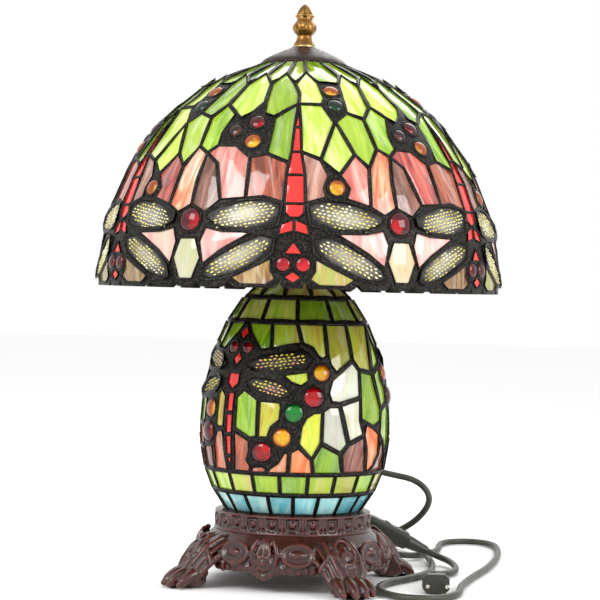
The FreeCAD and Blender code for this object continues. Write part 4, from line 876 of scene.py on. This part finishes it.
def skirt_relief(bm, angle):
    """The skirt between two legs: oval cartouches beside a central rosette, on scallops."""
    here = around(angle)
    for side in (-1, 1):
        turn = around(angle + side * 19.5)
        frame_matrix = turn @ Matrix.Translation(Vector((95.5, 0, 37.5)) * MM) \
            @ Matrix.Rotation(math.radians(70), 4, "Y") @ Matrix.Rotation(math.radians(90), 4, "Z")
        oval_ring(bm, frame_matrix, 15.0, 10.4, 2.6)
        oval_ring(bm, frame_matrix, 10.6, 6.4, 1.3)
        boss(bm, (0, 0, 0), (8.4, 4.4, 3.8), frame_matrix)
        for step in range(7):
            scallop = around(angle + side * (7 + step * 4.4))
            size = 4.4 - 1.0 * abs(math.sin(step * 1.9))
            boss(bm, (94.0, 0, 23.5), (4.4, 5.2, size * 1.5), scallop)
        strand = []
        for along, out, level in ((5.0, 92, 50), (7.5, 97, 42), (7.0, 98, 32), (5.0, 96, 22)):
            strand.append(around(angle + side * along) @ Vector((out, 0, level)))
        curved_strand(bm, strand, 2.4, 3.0)
    for step in range(8):
        turn = math.tau * step / 8
        petal = (98.5, 5.8 * math.cos(turn), 30.0 + 6.0 * math.sin(turn))
        boss(bm, petal, (3.4, 3.3, 3.3), here)
    boss(bm, (99.5, 0, 30), (4.0, 3.6, 3.6), here)
    boss(bm, (94.5, 0, 30), (5.0, 12.5, 12.0), here, 3)
    for offset, level, size in ((-6, 18.5, 4.0), (6, 18.5, 4.0), (0, 16.0, 4.6)):
        boss(bm, (95.5, offset, level), (3.6, size, 4.0), here)
    for offset in (-4.5, 0, 4.5):
        curved_strand(bm, [here @ Vector((90, offset * 0.5, 51)),
                           here @ Vector((96, offset, 44)),
                           here @ Vector((98.5, offset * 1.4, 38))], 2.4, 1.8)


def one_casting(bm, name, grain, softenings):
    """Overlapping masses run together into one moulded surface, its edges softened."""
    piece = piece_from(bm, name, CASTING, smooth=180)
    remesh = piece.modifiers.new("one_casting", "REMESH")
    remesh.mode = "VOXEL"
    remesh.voxel_size = grain
    remesh.use_smooth_shade = True
    smooth = piece.modifiers.new("soft_casting", "SMOOTH")
    smooth.factor = 0.5
    smooth.iterations = softenings
    return piece


def make_base():
    """The cast base as one moulded surface, its hollow underside kept open."""
    bm = bmesh.new()
    spin_profile(bm, [(70 * MM, 54.8 * MM), (78 * MM, 54.8 * MM), (83 * MM, 50 * MM),
                      (90 * MM, 43 * MM), (95 * MM, 34 * MM), (96 * MM, 22 * MM),
                      (91 * MM, 22 * MM), (90 * MM, 33 * MM), (83 * MM, 41 * MM),
                      (72 * MM, 47 * MM), (70 * MM, 54.8 * MM)], 120)
    for angle in FOOT_ANGLES:
        part = bmesh.new()
        leg_relief(part)
        bmesh.ops.transform(part, matrix=around(angle), verts=part.verts)
        join_into(bm, part)
        skirt_relief(bm, angle + HALF_BETWEEN_FEET)
    for vert in bm.verts:
        vert.co.z = max(vert.co.z, FLOOR_OF_CAST)
    stand_for(one_casting(bm, "base_relief", 1.15 * MM, 3), "base_casting")


def make_collar():
    """The cast ring under the glass body: arched cells, each with a round boss."""
    bm = bmesh.new()
    low, top, edge = 53 * MM, 73 * MM, 79.6 * MM
    spin_profile(bm, [(64 * MM, low), (78 * MM, low), (edge, low + 1.2 * MM),
                      (edge - 0.6 * MM, low + 3.6 * MM), (edge - 2.8 * MM, low + 4.8 * MM),
                      (edge - 2.8 * MM, top - 3.2 * MM), (edge - 0.8 * MM, top - 2.2 * MM),
                      (edge - 0.6 * MM, top - 0.8 * MM), (edge - 2.0 * MM, top),
                      (64 * MM, top), (64 * MM, low)], 144)
    for number in range(COLLAR_CELLS):
        here = around(360 / COLLAR_CELLS * number) @ Matrix.Translation((edge - 2.2 * MM, 0, 0))
        boss(bm, (0, 0, 64.5), (2.0, 3.4, 3.6), here)
        for step in range(15):
            turn = math.pi * (step / 14 - 1)
            side, level = 7.0 * math.cos(turn), 62.5 + 6.8 * math.sin(turn)
            boss(bm, (0, side, level), (1.5, 1.2, 1.2), here, 1)
        for side in (-7.0, 7.0):
            for step in range(5):
                boss(bm, (0, side, 63.5 + 1.7 * step), (1.5, 1.2, 1.3), here, 1)
        boss(bm, (0, 10.1, 63.5), (1.4, 1.1, 8.0), here)
    stand_for(one_casting(bm, "collar_relief", 0.85 * MM, 2), "collar_ring")


make_base()
make_collar()

# ------------------------------------------------------------------ finial

FINIAL_FOOT = 542.15 * MM
FINIAL_HIGH = 42.5 * MM
FINIAL_WIDE = 12.0 * MM
FINIAL_LINE = [
    (0.0, 0.0), (0.88, 0.0), (0.85, 0.05), (0.68, 0.14), (0.60, 0.22), (0.66, 0.25),
    (0.82, 0.30), (0.95, 0.36), (1.0, 0.42), (0.95, 0.49), (0.80, 0.55), (0.66, 0.60),
    (0.60, 0.65), (0.66, 0.685), (0.74, 0.715), (0.68, 0.745), (0.62, 0.79), (0.52, 0.85),
    (0.38, 0.91), (0.20, 0.965), (0.0, 1.0),
]


def smooth_line(line, share):
    """A place on a line of (radius, height) corners, eased between its corners."""
    spot = share * (len(line) - 1)
    i = min(int(spot), len(line) - 2)
    part = spot - i
    before = line[max(i - 1, 0)]
    after = line[min(i + 2, len(line) - 1)]
    values = []
    for k in (0, 1):
        p0, p1, p2, p3 = before[k], line[i][k], line[i + 1][k], after[k]
        values.append(0.5 * (2 * p1 + (p2 - p0) * part
                             + (2 * p0 - 5 * p1 + 4 * p2 - p3) * part ** 2
                             + (3 * p1 - p0 - 3 * p2 + p3) * part ** 3))
    return values


def make_finial():
    """The cast finial: a flared foot, a bulb with swirling flutes, leaves and a ribbed bud."""
    bm = bmesh.new()
    rows = 110
    outline = []
    for i in range(rows + 1):
        share = (1 + (len(FINIAL_LINE) - 2) * i / rows) / (len(FINIAL_LINE) - 1)
        radius, height = smooth_line(FINIAL_LINE, share)
        outline.append((max(radius, 0.0) * FINIAL_WIDE, height * FINIAL_HIGH + FINIAL_FOOT))
    outline[-1] = (0.0, outline[-1][1])
    spin_profile(bm, [(0.0, FINIAL_FOOT)] + outline, 96)
    for vert in bm.verts:
        height = (vert.co.z - FINIAL_FOOT) / FINIAL_HIGH
        radius = math.hypot(vert.co.x, vert.co.y)
        if radius < 1e-6:
            continue
        angle = math.atan2(vert.co.y, vert.co.x)
        depth = 0.0
        if 0.24 < height < 0.66:
            ease = math.sin(math.pi * (height - 0.24) / 0.42)
            swirl = angle * 12 + 9.0 * (height - 0.4) ** 2 * 12
            depth = 0.62 * MM * ease * (abs(math.cos(swirl / 2)) - 0.75)
        if height > 0.76:
            ease = math.sin(math.pi * min(1.0, (height - 0.76) / 0.24)) ** 0.6
            depth = 0.55 * MM * ease * (abs(math.cos(angle * 5)) - 0.7)
        vert.co.x *= 1 + depth / radius
        vert.co.y *= 1 + depth / radius
    for number in range(6):
        here = Matrix.Rotation(math.tau * number / 6, 4, "Z")
        leaf = here @ Matrix.Translation((8.4 * MM, 0, FINIAL_FOOT + 0.70 * FINIAL_HIGH)) \
            @ Matrix.Rotation(math.radians(-35), 4, "Y") @ scaled(1.9 * MM, 3.2 * MM, 0.9 * MM)
        lump(bm, leaf, 2)
        stem = here @ Matrix.Translation((7.3 * MM, 0, FINIAL_FOOT + 0.66 * FINIAL_HIGH)) \
            @ Matrix.Rotation(math.radians(20), 4, "Y") @ scaled(1.3 * MM, 2.2 * MM, 3.2 * MM)
        lump(bm, stem, 2)
    stand_for(piece_from(bm, "fluted_finial", BRASS, smooth=50), "finial")


make_finial()

# ------------------------------------------------------------------ finishes of CAD nodes

NODE_FINISH = {
    "bottom_plate": BRONZE, "foot_pads": FELT, "threaded_rod": ZINC, "rod_nuts": ZINC,
    "rod_washers": ZINC, "holder_bracket": ZINC, "neck_cap": BRONZE, "stem_sleeve": BRONZE,
    "upper_sleeve": BRONZE, "cluster_body": PLAIN_BRASS, "lamp_holders": PLAIN_BRASS,
    "night_holder": BLACK_PLASTIC, "bulbs": BULB_GLASS, "night_bulb": BULB_GLASS,
    "shade_spider": PLAIN_BRASS, "vented_cap": BRONZE, "finial_washer": PLAIN_BRASS,
    "cord_gland": BLACK_PLASTIC, "switch_upper_housing": SWITCH_PLASTIC,
    "switch_lower_housing": SWITCH_PLASTIC, "switch_rocker": BLACK_PLASTIC,
    "switch_sleeves": SWITCH_PLASTIC, "plug_body": SWITCH_PLASTIC, "plug_pins": NICKEL,
    "base_casting": CASTING, "collar_ring": CASTING, "finial": BRASS,
}
for node, finish in NODE_FINISH.items():
    NODES[node].data.materials.clear()
    NODES[node].data.materials.append(finish)


# ------------------------------------------------------------------ studio

def make_studio():
    """White floor, white surroundings and large soft lights."""
    scene = bpy.context.scene
    scene.view_settings.view_transform = "Standard"
    world = bpy.data.worlds.new("white_room")
    scene.world = world
    world.use_nodes = True
    world.node_tree.nodes["Background"].inputs["Color"].default_value = (1, 1, 1, 1)
    world.node_tree.nodes["Background"].inputs["Strength"].default_value = 1.0
    bm = bmesh.new()
    bmesh.ops.create_grid(bm, x_segments=1, y_segments=1, size=12.0)
    bmesh.ops.translate(bm, verts=bm.verts, vec=(0, 0, -0.0002))
    material, tree, shader = new_material("white_paper_floor", Roughness=0.9)
    shader.inputs["Base Color"].default_value = linear("#FAFAFA")
    shader.inputs["Specular IOR Level"].default_value = 0.1
    floor = piece_from(bm, "floor", material)
    lights = [("key", (-1.6, -1.8, 1.9), 1.4, 42.0), ("fill", (1.9, -1.3, 1.2), 1.2, 26.0),
              ("back", (0.4, 1.6, 1.8), 1.6, 20.0)]
    for name, spot, size, power in lights:
        data = bpy.data.lights.new(name, "AREA")
        data.size = size
        data.energy = power
        light = bpy.data.objects.new(name, data)
        scene.collection.objects.link(light)
        light.location = spot
        aim = Vector((0, 0, 0.3)) - Vector(spot)
        light.rotation_euler = aim.to_track_quat("-Z", "Y").to_euler()


make_studio()
